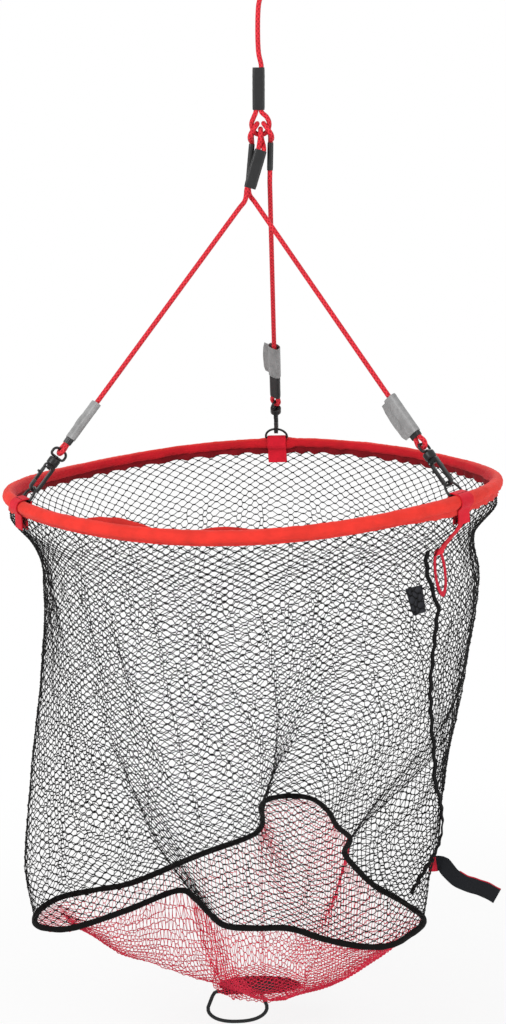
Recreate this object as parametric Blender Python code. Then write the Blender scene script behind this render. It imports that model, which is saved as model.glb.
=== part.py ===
"""Drop net: a hooped bag of netting that hangs from a three-legged cord bridle.

Lengths are in metres and +Z is up. The hoop's centre is the working point, held by an empty.
The model's own origin is the inside top of the hand loop, which is what holds the net up.
"""
import math

import bpy
import bmesh
import numpy as np
from mathutils import Matrix, Vector, geometry

for old in list(bpy.data.objects):
    bpy.data.objects.remove(old, do_unlink=True)

MM = 0.001
UP = Vector((0.0, 0.0, 1.0))

# Fits
SEAT_GAP = 0.3 * MM
NET_SEAT_GAP = 0.8 * MM

# Hoop and its fabric sleeve
HOOP_RADIUS = 300 * MM
HOOP_SAG = 9.4 * MM
HOOP_STEPS = 60
WIRE_DIAMETER = 5 * MM
FERRULE_WALL = 1.0 * MM
FERRULE_LENGTH = 26 * MM
FERRULE_ANGLE = 156
SLEEVE_DIAMETER = 16.5 * MM
SLEEVE_WALL = 1.2 * MM
HEM_DROP = 6.0 * MM
REAR_ANGLE = 90

# Netting bag
NET_THICKNESS = 1.6 * MM
NET_HEM_OVERLAP = 4.0 * MM
NET_TAB_CLEAR = 1.0 * MM
SEAM_DIAMETER = 6.0 * MM
SEAM_STEPS = 120
SEAM_START_ANGLE = 322
FLOOR_THICKNESS = 1.2 * MM
FLOOR_GRID = 32 * MM
FLOOR_DEPTH = 665 * MM
FLOOR_RISE = 131 * MM
FLOOR_REACH = 250 * MM
FLOOR_SHOULDER = 24 * MM
SIDE_TAPE_WIDTH = 6.0 * MM
SIDE_TAPE_THICKNESS = 1.6 * MM
SIDE_TAPE_START = 0.05
SIDE_TAPE_END = 0.975
# Rows of the wall by share of its height, and how far each side draws in or bellies out there
NET_ROWS = (0.0, 0.06, 0.2, 0.4, 0.6, 0.78, 0.9, 1.0)
LEFT_BELLY = (1.0, 0.93, 0.9, 0.93, 0.98, 1.015, 1.03, 1.0)
RIGHT_BELLY = (1.0, 0.93, 0.98, 1.06, 1.15, 1.13, 1.05, 1.0)
FOLD_POWER = 1.46

# Bridle cord and its fittings
CORD_DIAMETER = 6.0 * MM
STRAND_GAP = 0.5 * MM
SHRINK_WALL = 0.7 * MM
SHRINK_LENGTH = 56 * MM
HAUL_SHRINK_LENGTH = 50 * MM
CORD_GRIP = 12 * MM
SLEEVE_LEAD = 12 * MM
MOUTH_RUN = 1.5 * MM
WRAP_WALL = 0.8 * MM
WRAP_LENGTH = 53 * MM
WRAP_FLAP = 9.0 * MM
LEG_NODE_SPACING = 24 * MM

# Webbing tab and D-ring
TAB_WIDTH = 25 * MM
TAB_THICKNESS = 1.5 * MM
TAB_DROP = 26.5 * MM
RING_WIRE = 3.0 * MM
RING_WIDTH = 29 * MM
RING_SIDE = 3.0 * MM

# Swivel snap hook
HOOK_PLATE = 5.2 * MM
HOOK_WIDTH = 13.8 * MM
HOOK_PRONG = 3.3 * MM
HOOK_SHANK_TOP = 33 * MM
HOOK_LOOP_TOP = 28.6 * MM
HOOK_NOSE_TOP = 8.2 * MM
BARREL_DIAMETER = 14.5 * MM
BARREL_LENGTH = 9.5 * MM
STEM_DIAMETER = 4.0 * MM
STEM_BORE = 4.8 * MM
STEM_HEAD_DIAMETER = 5.0 * MM
STEM_HEAD_LENGTH = 1.4 * MM
BAIL_WIRE = 3.2 * MM
BAIL_WIDTH = 21.5 * MM
BAIL_HEIGHT = 13.6 * MM
GATE_THICKNESS = 3.0 * MM
GATE_TONGUE = 2.4 * MM
GATE_PIN_DIAMETER = 1.6 * MM
GATE_PIN_BORE = 2.1 * MM
GATE_PIN_HEIGHT = 29.8 * MM
CHEEK_BOTTOM = 27.0 * MM
NUB_REACH = 2.4 * MM

# Closing strap, patch and label on the net's side
STRAP_WIDTH = 19 * MM
STRAP_THICKNESS = 2.0 * MM
PATCH_WIDTH = 26 * MM
PATCH_HEIGHT = 58 * MM
PATCH_THICKNESS = 1.5 * MM
LABEL_WIDTH = 28 * MM
LABEL_HEIGHT = 32 * MM
LABEL_THICKNESS = 1.2 * MM
PATCH_GAP = 0.88 * MM
LABEL_GAP = 1.04 * MM

# Base patch, keeper and carrying handle
BASE_PATCH_LENGTH = 108 * MM
BASE_PATCH_WIDTH = 56 * MM
BASE_PATCH_THICKNESS = 2.0 * MM
HANDLE_WIRE = 4.6 * MM
HANDLE_TOP_WIDTH = 59 * MM
HANDLE_WIDTH = 77 * MM
HANDLE_SHOULDER = 22 * MM
HANDLE_HEIGHT = 42 * MM
KEEPER_WIDTH = 34 * MM
KEEPER_THICKNESS = 1.6 * MM
HANDLE_CENTRE = (-43 * MM, -5 * MM)

# The photograph's across and deep directions, in which the hub's cords are laid out
VIEW_TURN = math.radians(6.8239)
ACROSS = Vector((math.cos(VIEW_TURN), math.sin(VIEW_TURN), 0.0))
DEEP = Vector((-math.sin(VIEW_TURN), math.cos(VIEW_TURN), 0.0))

# Hub: where the three eyes hang in the haul line's lower eye (across, deep, up)
HUB = Vector((24.0, 0.0, 422.0)) * MM
HAUL_LEAN = (ACROSS * 0.0317 + UP).normalized()
HAUL_SHRINK_BOTTOM = 451 * MM
HAND_SHRINK_BOTTOM = 590 * MM
HAND_LOOP_TOP = 735 * MM
HAND_LOOP_HALF_WIDTH = 24 * MM

# Plan of the bottom seam, counter-clockwise from the side seam: x, y and height, in mm,
# for a hoop of this radius
SEAM_HOOP = 300 * MM
SEAM_POINTS = (
    (180, -76, -520), (142, -40, -512), (116, 9, -508), (97, 58, -504), (100, 116, -505), (78, 174, -508),
    (61, 236, -508), (35, 282, -506), (3, 289, -504), (-25, 275, -504), (-33, 244, -504), (-26, 198, -504),
    (-24, 153, -504), (-38, 120, -506), (-96, 62, -510), (-169, -17, -518), (-217, -36, -522),
    (-256, -56, -524), (-276, -93, -526), (-274, -136, -526), (-256, -158, -525), (-222, -159, -524),
    (-159, -142, -508), (-100, -98, -498), (-74, -121, -500), (-53, -156, -504), (-29, -186, -508),
    (7, -188, -510), (48, -183, -512), (93, -206, -516), (137, -216, -520), (167, -208, -522),
    (186, -178, -524), (206, -120, -525),
)

# Supports: name, angle on the hoop, side of the gate, turn of the swivel, foot and flap side of the wrap
SUPPORTS = (
    ("rear", 90, 1, 60, 105 * MM, -1),
    ("left", 210, -1, 90, 72 * MM, 1),
    ("right", 330, 1, 0, 70 * MM, 1),
)


def paint(name, colour, roughness, metallic=0.0):
    """A plain Principled material."""
    material = bpy.data.materials.new(name)
    material.use_nodes = True
    shader = material.node_tree.nodes["Principled BSDF"]
    shader.inputs["Base Color"].default_value = (*colour, 1.0)
    shader.inputs["Roughness"].default_value = roughness
    shader.inputs["Metallic"].default_value = metallic
    return material


RED_FABRIC = paint("red_fabric", (0.80, 0.05, 0.04), 0.8)
RED_CORD = paint("red_cord", (0.72, 0.04, 0.06), 0.7)
RED_NET = paint("red_net", (0.70, 0.03, 0.07), 0.7)
BLACK_NET = paint("black_net", (0.02, 0.02, 0.02), 0.7)
BLACK_TAPE = paint("black_tape", (0.01, 0.01, 0.01), 0.8)
BLACK_METAL = paint("black_metal", (0.02, 0.02, 0.02), 0.35, 0.6)
SPRING_STEEL = paint("spring_steel", (0.45, 0.45, 0.47), 0.35, 1.0)
SHRINK = paint("shrink_tube", (0.04, 0.04, 0.04), 0.5)
GREY_TAPE = paint("grey_tape", (0.36, 0.36, 0.36), 0.45)
WEBBING = paint("black_webbing", (0.015, 0.016, 0.02), 0.85)
LABEL_GREY = paint("label_grey", (0.05, 0.05, 0.05), 0.7)


def empty(name, matrix, parent=None):
    """An empty that carries pieces; its matrix is given in its parent's space."""
    holder = bpy.data.objects.new(name, None)
    bpy.context.collection.objects.link(holder)
    holder.parent = parent
    holder.matrix_local = matrix
    return holder


def add_object(name, data, material, parent, matrix=None):
    """Link one piece under its parent."""
    piece = bpy.data.objects.new(name, data)
    bpy.context.collection.objects.link(piece)
    if material is not None:
        data.materials.append(material)
    piece.parent = parent
    piece.matrix_local = matrix or Matrix.Identity(4)
    return piece


def mesh_object(name, points, faces, material, parent, matrix=None, smooth=35):
    """A mesh piece from points and faces, its faces turned outwards."""
    data = bpy.data.meshes.new(name)
    data.from_pydata([tuple(p) for p in points], [], faces)
    shape = bmesh.new()
    shape.from_mesh(data)
    bmesh.ops.recalc_face_normals(shape, faces=shape.faces)
    shape.to_mesh(data)
    shape.free()
    if smooth:
        data.shade_smooth()
        data.set_sharp_from_angle(angle=math.radians(smooth))
    return add_object(name, data, material, parent, matrix)


def split_faces(piece, count):
    """Split a wall's bent faces into flat triangles, along the same diagonals on both its skins."""
    shape = bmesh.new()
    shape.from_mesh(piece.data)
    shape.verts.ensure_lookup_table()
    run = len(shape.verts) // count
    for i in range(run):
        here = i * count
        over = ((i + 1) % run) * count
        for k in range(count // 2 - 1):
            for upper, lower in ((k, k + 1), (count - 1 - k, count - 2 - k)):
                start = shape.verts[here + upper]
                end = shape.verts[over + lower]
                face = next(f for f in start.link_faces if end in f.verts)
                bmesh.utils.face_split(face, start, end)
    rims = [f for f in shape.faces if len(f.verts) > 3]
    bmesh.ops.triangulate(shape, faces=rims, quad_method="FIXED")
    shape.to_mesh(piece.data)
    shape.free()


def axes(origin, across, along):
    """A placing with +Z along one direction and +X near another."""
    z = Vector(along).normalized()
    x = (Vector(across) - z * Vector(across).dot(z)).normalized()
    y = z.cross(x)
    placed = Matrix((x, y, z)).transposed().to_4x4()
    placed.translation = origin
    return placed


def closed_curve(points, steps):
    """Evenly spaced points along a smooth closed curve through the given points."""
    knots = np.array(points, dtype=float)
    before = np.roll(knots, 1, axis=0)
    after = np.roll(knots, -1, axis=0)
    later = np.roll(knots, -2, axis=0)
    fine = []
    for t in np.linspace(0.0, 1.0, 16, endpoint=False):
        fine.append(0.5 * (2 * knots + (after - before) * t
                           + (2 * before - 5 * knots + 4 * after - later) * t ** 2
                           + (3 * knots - before - 3 * after + later) * t ** 3))
    fine = np.stack(fine, axis=1).reshape(-1, 3)
    loop = np.vstack([fine, fine[:1]])
    run = np.concatenate([[0.0], np.cumsum(np.linalg.norm(np.diff(loop, axis=0), axis=1))])
    wanted = np.linspace(0.0, run[-1], steps, endpoint=False)
    return np.stack([np.interp(wanted, run, loop[:, k]) for k in range(3)], axis=1)


def open_curve(points, spacing):
    """Points at about the given spacing along a smooth open curve through the given points."""
    knots = np.array([tuple(p) for p in points], dtype=float)
    gaps = np.linalg.norm(np.diff(knots, axis=0), axis=1) ** 0.5
    times = np.concatenate([[0.0], np.cumsum(gaps)])
    padded = np.vstack([2 * knots[0] - knots[1], knots, 2 * knots[-1] - knots[-2]])
    clock = np.concatenate([[-gaps[0]], times, [times[-1] + gaps[-1]]])
    fine = []
    for i in range(len(knots) - 1):
        t0, t1, t2, t3 = clock[i:i + 4]
        p0, p1, p2, p3 = padded[i:i + 4]
        for t in np.linspace(t1, t2, 14, endpoint=False):
            a1 = (t1 - t) / (t1 - t0) * p0 + (t - t0) / (t1 - t0) * p1
            a2 = (t2 - t) / (t2 - t1) * p1 + (t - t1) / (t2 - t1) * p2
            a3 = (t3 - t) / (t3 - t2) * p2 + (t - t2) / (t3 - t2) * p3
            b1 = (t2 - t) / (t2 - t0) * a1 + (t - t0) / (t2 - t0) * a2
            b2 = (t3 - t) / (t3 - t1) * a2 + (t - t1) / (t3 - t1) * a3
            fine.append((t2 - t) / (t2 - t1) * b1 + (t - t1) / (t2 - t1) * b2)
    fine = np.vstack([fine, knots[-1:]])
    run = np.concatenate([[0.0], np.cumsum(np.linalg.norm(np.diff(fine, axis=0), axis=1))])
    count = max(2, round(run[-1] / spacing) + 1)
    wanted = np.linspace(0.0, run[-1], count)
    return np.stack([np.interp(wanted, run, fine[:, k]) for k in range(3)], axis=1)


def cord(name, points, diameter, material, parent, closed=False, rounding=2, matrix=None):
    """A round cord, wire or rod along a polyline, with flat filled ends."""
    data = bpy.data.curves.new(name, "CURVE")
    data.dimensions = "3D"
    data.bevel_depth = diameter / 2
    data.bevel_resolution = rounding
    data.resolution_u = 1
    data.render_resolution_u = 0
    data.use_fill_caps = not closed
    data.twist_mode = "MINIMUM"
    spline = data.splines.new("POLY")
    spline.points.add(len(points) - 1)
    for slot, point in zip(spline.points, points):
        slot.co = (*point, 1.0)
    spline.use_cyclic_u = closed
    return add_object(name, data, material, parent, matrix)


def swept_section(name, sections, material, parent, closed_run, matrix=None, smooth=35):
    """A closed body from matching closed sections, joined one after another."""
    count = len(sections[0])
    points = [p for section in sections for p in section]
    faces = []
    last = len(sections) if closed_run else len(sections) - 1
    for i in range(last):
        base = i * count
        over = ((i + 1) % len(sections)) * count
        for k in range(count):
            nxt = (k + 1) % count
            faces.append((base + k, base + nxt, over + nxt, over + k))
    if not closed_run:
        faces.append(tuple(reversed(range(count))))
        faces.append(tuple(range(len(points) - count, len(points))))
    return mesh_object(name, points, faces, material, parent, matrix, smooth)


def pipe(name, inner, outer, low, high, material, parent, matrix, smooth=35):
    """A tube open at both ends, from an inner and an outer outline with as many points."""
    count = len(inner)
    rings = [(inner, low), (outer, low), (outer, high), (inner, high)]
    points = [(x, y, z) for outline, z in rings for x, y in outline]
    faces = []
    for i in range(4):
        base = i * count
        over = ((i + 1) % 4) * count
        for k in range(count):
            nxt = (k + 1) % count
            faces.append((base + k, base + nxt, over + nxt, over + k))
    return mesh_object(name, points, faces, material, parent, matrix, smooth)


def plate(name, outline, half, material, parent, matrix=None, turned=None, smooth=35):
    """An outline in X and Y given a thickness of half each way along Z, then turned."""
    count = len(outline)
    points = [Vector((x, y, z)) for z in (-half, half) for x, y in outline]
    if turned is not None:
        points = [turned @ p for p in points]
    faces = [tuple(reversed(range(count))), tuple(range(count, 2 * count))]
    for k in range(count):
        nxt = (k + 1) % count
        faces.append((k, nxt, count + nxt, count + k))
    return mesh_object(name, points, faces, material, parent, matrix, smooth)


def turned_rod(name, profile, steps, material, parent, matrix=None):
    """A solid of revolution about Z from its radius and height pairs, bottom to top."""
    sections = []
    for radius, height in profile:
        ring = []
        for k in range(steps):
            turn = 2 * math.pi * (k + 0.5) / steps
            ring.append((radius * math.cos(turn), radius * math.sin(turn), height))
        sections.append(ring)
    return swept_section(name, sections, material, parent, False, matrix)


def combine(target, tool, operation):
    """Join or cut one piece with another, which is hidden."""
    step = target.modifiers.new(operation.lower(), "BOOLEAN")
    step.operation = operation
    step.solver = "EXACT"
    step.object = tool
    tool.hide_render = True
    tool.display_type = "WIRE"


def arc(centre, radius, start, stop, steps):
    """Points on an arc, from start to stop degrees."""
    turns = [math.radians(start + (stop - start) * k / steps) for k in range(steps + 1)]
    return [(centre[0] + radius * math.cos(t), centre[1] + radius * math.sin(t)) for t in turns]


def oval(width, depth, steps=16):
    """A slot-shaped outline whose ends are half circles, with an even number of points."""
    end = depth / 2
    run = width / 2 - end
    right = arc((run, 0.0), end, -90, 90, steps // 2 - 1)
    left = arc((-run, 0.0), end, 90, 270, steps // 2 - 1)
    return right + left


# The sleeve's outer diameter over two cord strands laid side by side
STRAND_OFFSET = (CORD_DIAMETER + STRAND_GAP) / 2
PAIR_WIDTH = 2 * CORD_DIAMETER + 3 * STRAND_GAP
PAIR_DEPTH = CORD_DIAMETER + 2 * STRAND_GAP
SHRINK_WIDTH = PAIR_WIDTH + 2 * SHRINK_WALL
SHRINK_DEPTH = PAIR_DEPTH + 2 * SHRINK_WALL

hub_point = ACROSS * HUB.x + DEEP * HUB.y + UP * HUB.z
haul_axis_foot = ACROSS * (HUB.x - 1.6 * MM)


def on_haul(height, side=0.0):
    """A point beside the haul line's leaning axis."""
    run = (height - HAUL_SHRINK_BOTTOM) / HAUL_LEAN.z
    base = haul_axis_foot + UP * HAUL_SHRINK_BOTTOM
    return base + HAUL_LEAN * run + ACROSS * side


loop_inside_top = on_haul(HAND_LOOP_TOP) - UP * (CORD_DIAMETER / 2)
HOOP = empty("hoop_centre", Matrix.Translation(-loop_inside_top))


def hoop_height(angle):
    """Height of the sleeve's centre: the hoop sags between its three supports."""
    return -HOOP_SAG * (1 - math.cos(math.radians(3 * (angle - REAR_ANGLE)))) / 2


def hoop_angles():
    """Angles of the hoop's facets, with each support at the middle of one."""
    step = 360 / HOOP_STEPS
    return [REAR_ANGLE + step * (k + 0.5) for k in range(HOOP_STEPS)]


SLEEVE_RADIUS = SLEEVE_DIAMETER / 2
WIRE_RISE = SLEEVE_RADIUS - SLEEVE_WALL - WIRE_DIAMETER / 2 - FERRULE_WALL - 2 * SEAT_GAP
HEM_GAP_HALF = NET_THICKNESS / 2 + SEAT_GAP
HEM_HALF = HEM_GAP_HALF + SLEEVE_WALL
# The net hangs straight past the tabs' tails before it draws in
NET_STRAIGHT = TAB_DROP + NET_TAB_CLEAR - SLEEVE_RADIUS - HEM_DROP


def sleeve_section():
    """The sleeve's C section with its two hem lips, as radial and upward pairs."""
    outer_lip = math.degrees(math.asin(HEM_HALF / SLEEVE_RADIUS))
    inner_radius = SLEEVE_RADIUS - SLEEVE_WALL
    inner_lip = math.degrees(math.asin(HEM_GAP_HALF / inner_radius))
    bottom = -SLEEVE_RADIUS - HEM_DROP
    section = arc((0, 0), SLEEVE_RADIUS, -90 + outer_lip, 270 - outer_lip, 11)
    section += [(-HEM_HALF, bottom), (-HEM_GAP_HALF, bottom)]
    section += arc((0, 0), inner_radius, 270 - inner_lip, -90 + inner_lip, 8)
    section += [(HEM_GAP_HALF, bottom), (HEM_HALF, bottom)]
    return section


def hoop_point(angle, outward, upward):
    """A point beside the sleeve's centre line."""
    turn = math.radians(angle)
    reach = HOOP_RADIUS + outward
    return Vector((reach * math.cos(turn), reach * math.sin(turn), hoop_height(angle) + upward))


def build_hoop():
    """The wire hoop, the ferrule on its joint and the fabric sleeve around both."""
    section = sleeve_section()
    rings = [[hoop_point(a, r, z) for r, z in section] for a in hoop_angles()]
    swept_section("hoop_sleeve", rings, RED_FABRIC, HOOP, True)
    wire = [hoop_point(a, 0.0, WIRE_RISE) for a in hoop_angles()]
    cord("hoop_wire", wire, WIRE_DIAMETER, SPRING_STEEL, HOOP, closed=True, rounding=1)
    step = 360 / HOOP_STEPS
    ends = [hoop_point(FERRULE_ANGLE + side * step / 2, 0.0, WIRE_RISE) for side in (-1, 1)]
    along = ends[1] - ends[0]
    placing = axes((ends[0] + ends[1]) / 2, UP, along)
    bore = WIRE_DIAMETER / 2 + SEAT_GAP
    inner = arc((0, 0), bore, 0, 330, 11)
    outer = arc((0, 0), bore + FERRULE_WALL, 0, 330, 11)
    half = FERRULE_LENGTH / 2
    pipe("hoop_ferrule", inner, outer, -half, half, SPRING_STEEL, HOOP, placing)


def support_seat(angle):
    """The middle of the sleeve's facet at a support."""
    chord = HOOP_RADIUS * math.cos(math.pi / HOOP_STEPS)
    turn = math.radians(angle)
    return Vector((chord * math.cos(turn), chord * math.sin(turn), hoop_height(angle)))


BAR_REACH = SLEEVE_RADIUS + SEAT_GAP + RING_WIRE / 2
RING_RADIUS = RING_WIDTH / 2
HOOK_INNER = HOOK_WIDTH / 2 - HOOK_PRONG
LOOP_FLOOR = -RING_WIRE / 2 - 3 * SEAT_GAP
BARREL_TOP = HOOK_SHANK_TOP + BARREL_LENGTH
BAIL_FOOT = BARREL_TOP + SEAT_GAP
BAIL_TOP = BAIL_FOOT + BAIL_HEIGHT
SHRINK_BOTTOM = BAIL_TOP + 8 * MM
SHRINK_TOP = SHRINK_BOTTOM + SHRINK_LENGTH
CORD_END = SHRINK_TOP - CORD_GRIP
EYE_END = CORD_END - SEAT_GAP


def upper_sleeve_placing(top, bottom, width_direction):
    """The placing of an upper heat-shrink sleeve: +Z up it, +X across its two strands."""
    return axes(bottom, width_direction, top - bottom)


def hub_at(across, deep, up):
    """A point given in the photograph's across, deep and up directions, in mm."""
    return ACROSS * (across * MM) + DEEP * (deep * MM) + UP * (up * MM)


# Upper sleeves of the three legs: top centre, bottom centre and the side their strands lie along
UPPER_SLEEVES = {
    "left": (hub_at(23.6, -2.6, 403.7), hub_at(8.7, -2.6, 359.0), ACROSS),
    "right": (hub_at(13.0, 10.0, 411.0), hub_at(7.5, 10.0, 366.0), DEEP),
    "rear": (hub_at(35.5, 9.4, 412.0), hub_at(33.8, 9.4, 379.0), DEEP),
}

# The upper eyes, from the sleeve's tail side over the haul line's eye to its main side:
# across, deep and up from the hub, in mm
EYE_ROUTES = {
    "left": ((1.2, 6.4, -6.0), (0.2, 6.5, 0.6), (0.0, 4.8, 5.0), (0.0, 0.0, 6.7),
             (0.0, -4.8, 5.0), (-0.2, -6.5, 0.6), (-1.2, -6.4, -6.0)),
    "right": ((-11.0, 11.0, -1.0), (-8.4, 7.0, 6.6), (-4.9, 4.9, 11.4), (-3.8, 0.0, 13.2),
              (-4.9, -4.9, 11.4), (-8.4, -6.8, 6.6), (-12.4, -5.6, 0.0), (-12.8, 1.4, -5.6)),
    "rear": ((11.5, 10.6, -1.0), (8.4, 7.0, 6.6), (4.9, 4.9, 11.4), (3.8, 0.0, 13.2),
             (4.9, -4.9, 11.4), (8.4, -6.8, 6.6), (12.4, -5.6, 0.0), (13.2, 1.0, -5.2)),
}


def support_frame(angle, target):
    """Seat, tangent, the ring's direction, its bar, and where the hook bears on the ring."""
    seat = support_seat(angle)
    turn = math.radians(angle)
    tangent = Vector((-math.sin(turn), math.cos(turn), 0.0))
    pull = target - seat
    ring = (pull - tangent * pull.dot(tangent)).normalized()
    bar = seat + ring * BAR_REACH
    leg = ring
    for _ in range(4):
        touch = bar + ring * RING_SIDE + leg * RING_RADIUS
        leg = (target - touch).normalized()
    return seat, tangent, ring, bar, touch, leg


def build_tab(name, seat, tangent, leg):
    """The webbing tab: over the D-ring's bar, round the sleeve and down both sides of the hem."""
    radial = tangent.cross(UP)
    reach = TAB_THICKNESS / 2 + SEAT_GAP
    bar_angle = math.degrees(math.atan2(leg.dot(UP), leg.dot(radial)))
    drop = -TAB_DROP
    tail = HEM_HALF + reach
    around = SLEEVE_RADIUS + reach
    over_bar = RING_WIRE / 2 + reach
    bar_r = BAR_REACH * math.cos(math.radians(bar_angle))
    bar_z = BAR_REACH * math.sin(math.radians(bar_angle))
    lean = math.degrees(math.acos((around - over_bar) / BAR_REACH))
    middle = [(tail, drop), (tail, -SLEEVE_RADIUS - 2.5 * MM)]
    middle += arc((0, 0), around, -58, bar_angle - lean, 5)
    middle += arc((bar_r, bar_z), over_bar, bar_angle - lean, bar_angle + lean, 4)
    middle += arc((0, 0), around, bar_angle + lean, 238, 5)
    middle += [(-tail, -SLEEVE_RADIUS - 2.5 * MM), (-tail, drop)]
    half = TAB_THICKNESS / 2
    sections = []
    for i, (r, z) in enumerate(middle):
        ahead = Vector(middle[min(i + 1, len(middle) - 1)]) - Vector(middle[max(i - 1, 0)])
        side = Vector((ahead.y, -ahead.x)).normalized() * half
        ring = []
        for turn, width in ((1, -1), (1, 1), (-1, 1), (-1, -1)):
            point = seat + radial * (r + side.x * turn) + UP * (z + side.y * turn)
            ring.append(point + tangent * (width * TAB_WIDTH / 2))
        sections.append(ring)
    swept_section(name, sections, RED_FABRIC, HOOP, False)


def build_ring(name, holder):
    """The D-ring, its bar on the holder's X axis."""
    half = RING_RADIUS
    outline = [(-half, 0.0), (half, 0.0)] + arc((0.0, RING_SIDE), half, 0, 180, 14)
    points = [(x, 0.0, z) for x, z in outline]
    cord(name, points, RING_WIRE, BLACK_METAL, holder, closed=True)


def hook_outline():
    """The hook body's outline, as side and height pairs: the gate's side is positive."""
    half = HOOK_WIDTH / 2
    centre = LOOP_FLOOR + HOOK_INNER
    lug = half
    outline = arc((0.0, centre), half, 180, 360, 10)
    outline += [(half, HOOK_NOSE_TOP), (HOOK_INNER, HOOK_NOSE_TOP)]
    outline += arc((0.0, centre), HOOK_INNER, 360, 180, 10)
    outline += [(-HOOK_INNER, HOOK_LOOP_TOP), (HOOK_INNER, HOOK_LOOP_TOP), (HOOK_INNER, CHEEK_BOTTOM)]
    outline += [(lug, CHEEK_BOTTOM), (lug, HOOK_SHANK_TOP - 2 * MM)]
    outline.append((lug - 1.5 * MM, HOOK_SHANK_TOP + 1 * MM))
    outline += [(-half + 1.5 * MM, HOOK_SHANK_TOP + 1 * MM), (-half, HOOK_SHANK_TOP - 2 * MM)]
    return outline


# Turns an outline in X and Y into one in Y and Z, so that its thickness lies along X
STANDING = Matrix(((0, 0, 1, 0), (1, 0, 0, 0), (0, 1, 0, 0), (0, 0, 0, 1)))


def build_hook(side_name, holder, gate_side):
    """The snap hook's body, its gate, the gate's pin and the pin's seat."""
    facing = Matrix.Diagonal((1.0, gate_side, 1.0, 1.0)) @ STANDING
    body = plate(f"snap_hook_{side_name}", hook_outline(), HOOK_PLATE / 2, BLACK_METAL, holder, None, facing)
    barrel_radius = BARREL_DIAMETER / 2
    profile = [(barrel_radius - 1.2 * MM, HOOK_SHANK_TOP), (barrel_radius, HOOK_SHANK_TOP + 1.2 * MM)]
    profile += [(barrel_radius, BARREL_TOP - 1 * MM), (barrel_radius - 1 * MM, BARREL_TOP)]
    barrel = turned_rod(f"cut_barrel_{side_name}", profile, 16, None, holder)
    combine(body, barrel, "UNION")
    bore = turned_rod(f"cut_bore_{side_name}", (
        (STEM_BORE / 2, HOOK_LOOP_TOP - 1 * MM), (STEM_BORE / 2, BARREL_TOP + 1 * MM)), 12, None, holder)
    combine(body, bore, "DIFFERENCE")
    gate_mid = HOOK_WIDTH / 2 - GATE_THICKNESS / 2
    slot_low = CHEEK_BOTTOM - 1 * MM
    slot_high = GATE_PIN_HEIGHT + GATE_THICKNESS / 2 + 2 * SEAT_GAP
    slot_in = HOOK_WIDTH / 2 - GATE_THICKNESS - 2 * SEAT_GAP
    slot_outline = [(slot_in, slot_low), (HOOK_WIDTH / 2 + 1 * MM, slot_low),
                    (HOOK_WIDTH / 2 + 1 * MM, slot_high), (slot_in, slot_high)]
    slot_half = GATE_TONGUE / 2 + SEAT_GAP
    slot = plate(f"cut_slot_{side_name}", slot_outline, slot_half, None, holder, None, facing)
    combine(body, slot, "DIFFERENCE")
    pin_at = Matrix.Translation((0.0, gate_side * gate_mid, GATE_PIN_HEIGHT))
    across = pin_at @ Matrix.Rotation(math.pi / 2, 4, "Y")
    reach = HOOK_PLATE / 2
    eye = turned_rod(f"cut_pin_{side_name}", (
        (GATE_PIN_BORE / 2, -reach - 1 * MM), (GATE_PIN_BORE / 2, reach + 1 * MM)), 10, None, holder, across)
    combine(body, eye, "DIFFERENCE")
    turned_rod(f"gate_pin_{side_name}", (
        (GATE_PIN_DIAMETER / 2, -reach), (GATE_PIN_DIAMETER / 2, reach)), 8, SPRING_STEEL, holder, across)
    build_gate(side_name, holder, gate_side, gate_mid)


def build_gate(side_name, holder, gate_side, gate_mid):
    """The sprung gate, whose origin is on its pin."""
    pivot = empty(f"gate_axis_{side_name}", Matrix.Translation((0.0, gate_side * gate_mid, GATE_PIN_HEIGHT)),
                  holder)
    facing = Matrix.Diagonal((1.0, gate_side, 1.0, 1.0)) @ STANDING
    half = GATE_THICKNESS / 2
    low = HOOK_NOSE_TOP + SEAT_GAP - GATE_PIN_HEIGHT
    top = CHEEK_BOTTOM - 1 * MM - GATE_PIN_HEIGHT
    nub = low + 9 * MM
    outline = [(-half, low), (half, low), (half, nub), (half + NUB_REACH, nub + 0.8 * MM),
               (half + NUB_REACH, nub + 2.8 * MM), (half, nub + 3.6 * MM), (half, top), (-half, top)]
    gate_half = HOOK_PLATE / 2 - 0.3 * MM
    gate = plate(f"hook_gate_{side_name}", outline, gate_half, BLACK_METAL, pivot, None, facing)
    tongue_outline = [(-half, top - 1 * MM), (half, top - 1 * MM)]
    tongue_outline += arc((0.0, 0.0), half, 0, 180, 6)
    tongue = plate(f"cut_tongue_{side_name}", tongue_outline, GATE_TONGUE / 2, None, pivot, None, facing)
    combine(gate, tongue, "UNION")
    reach = HOOK_PLATE
    eye = turned_rod(f"cut_gate_eye_{side_name}", (
        (GATE_PIN_BORE / 2, -reach), (GATE_PIN_BORE / 2, reach)), 10, None, pivot,
        Matrix.Rotation(math.pi / 2, 4, "Y"))
    combine(gate, eye, "DIFFERENCE")


def tube_sections(points, radius, steps):
    """Round sections along a closed flat loop of points in the X-Z plane."""
    sections = []
    count = len(points)
    for i, point in enumerate(points):
        ahead = (points[(i + 1) % count] - points[i - 1]).normalized()
        side = ahead.cross(Vector((0.0, 1.0, 0.0))).normalized()
        ring = []
        for k in range(steps):
            turn = 2 * math.pi * k / steps
            over = Vector((0.0, radius * math.sin(turn), 0.0))
            ring.append(point + side * (radius * math.cos(turn)) + over)
        sections.append(ring)
    return sections


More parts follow.
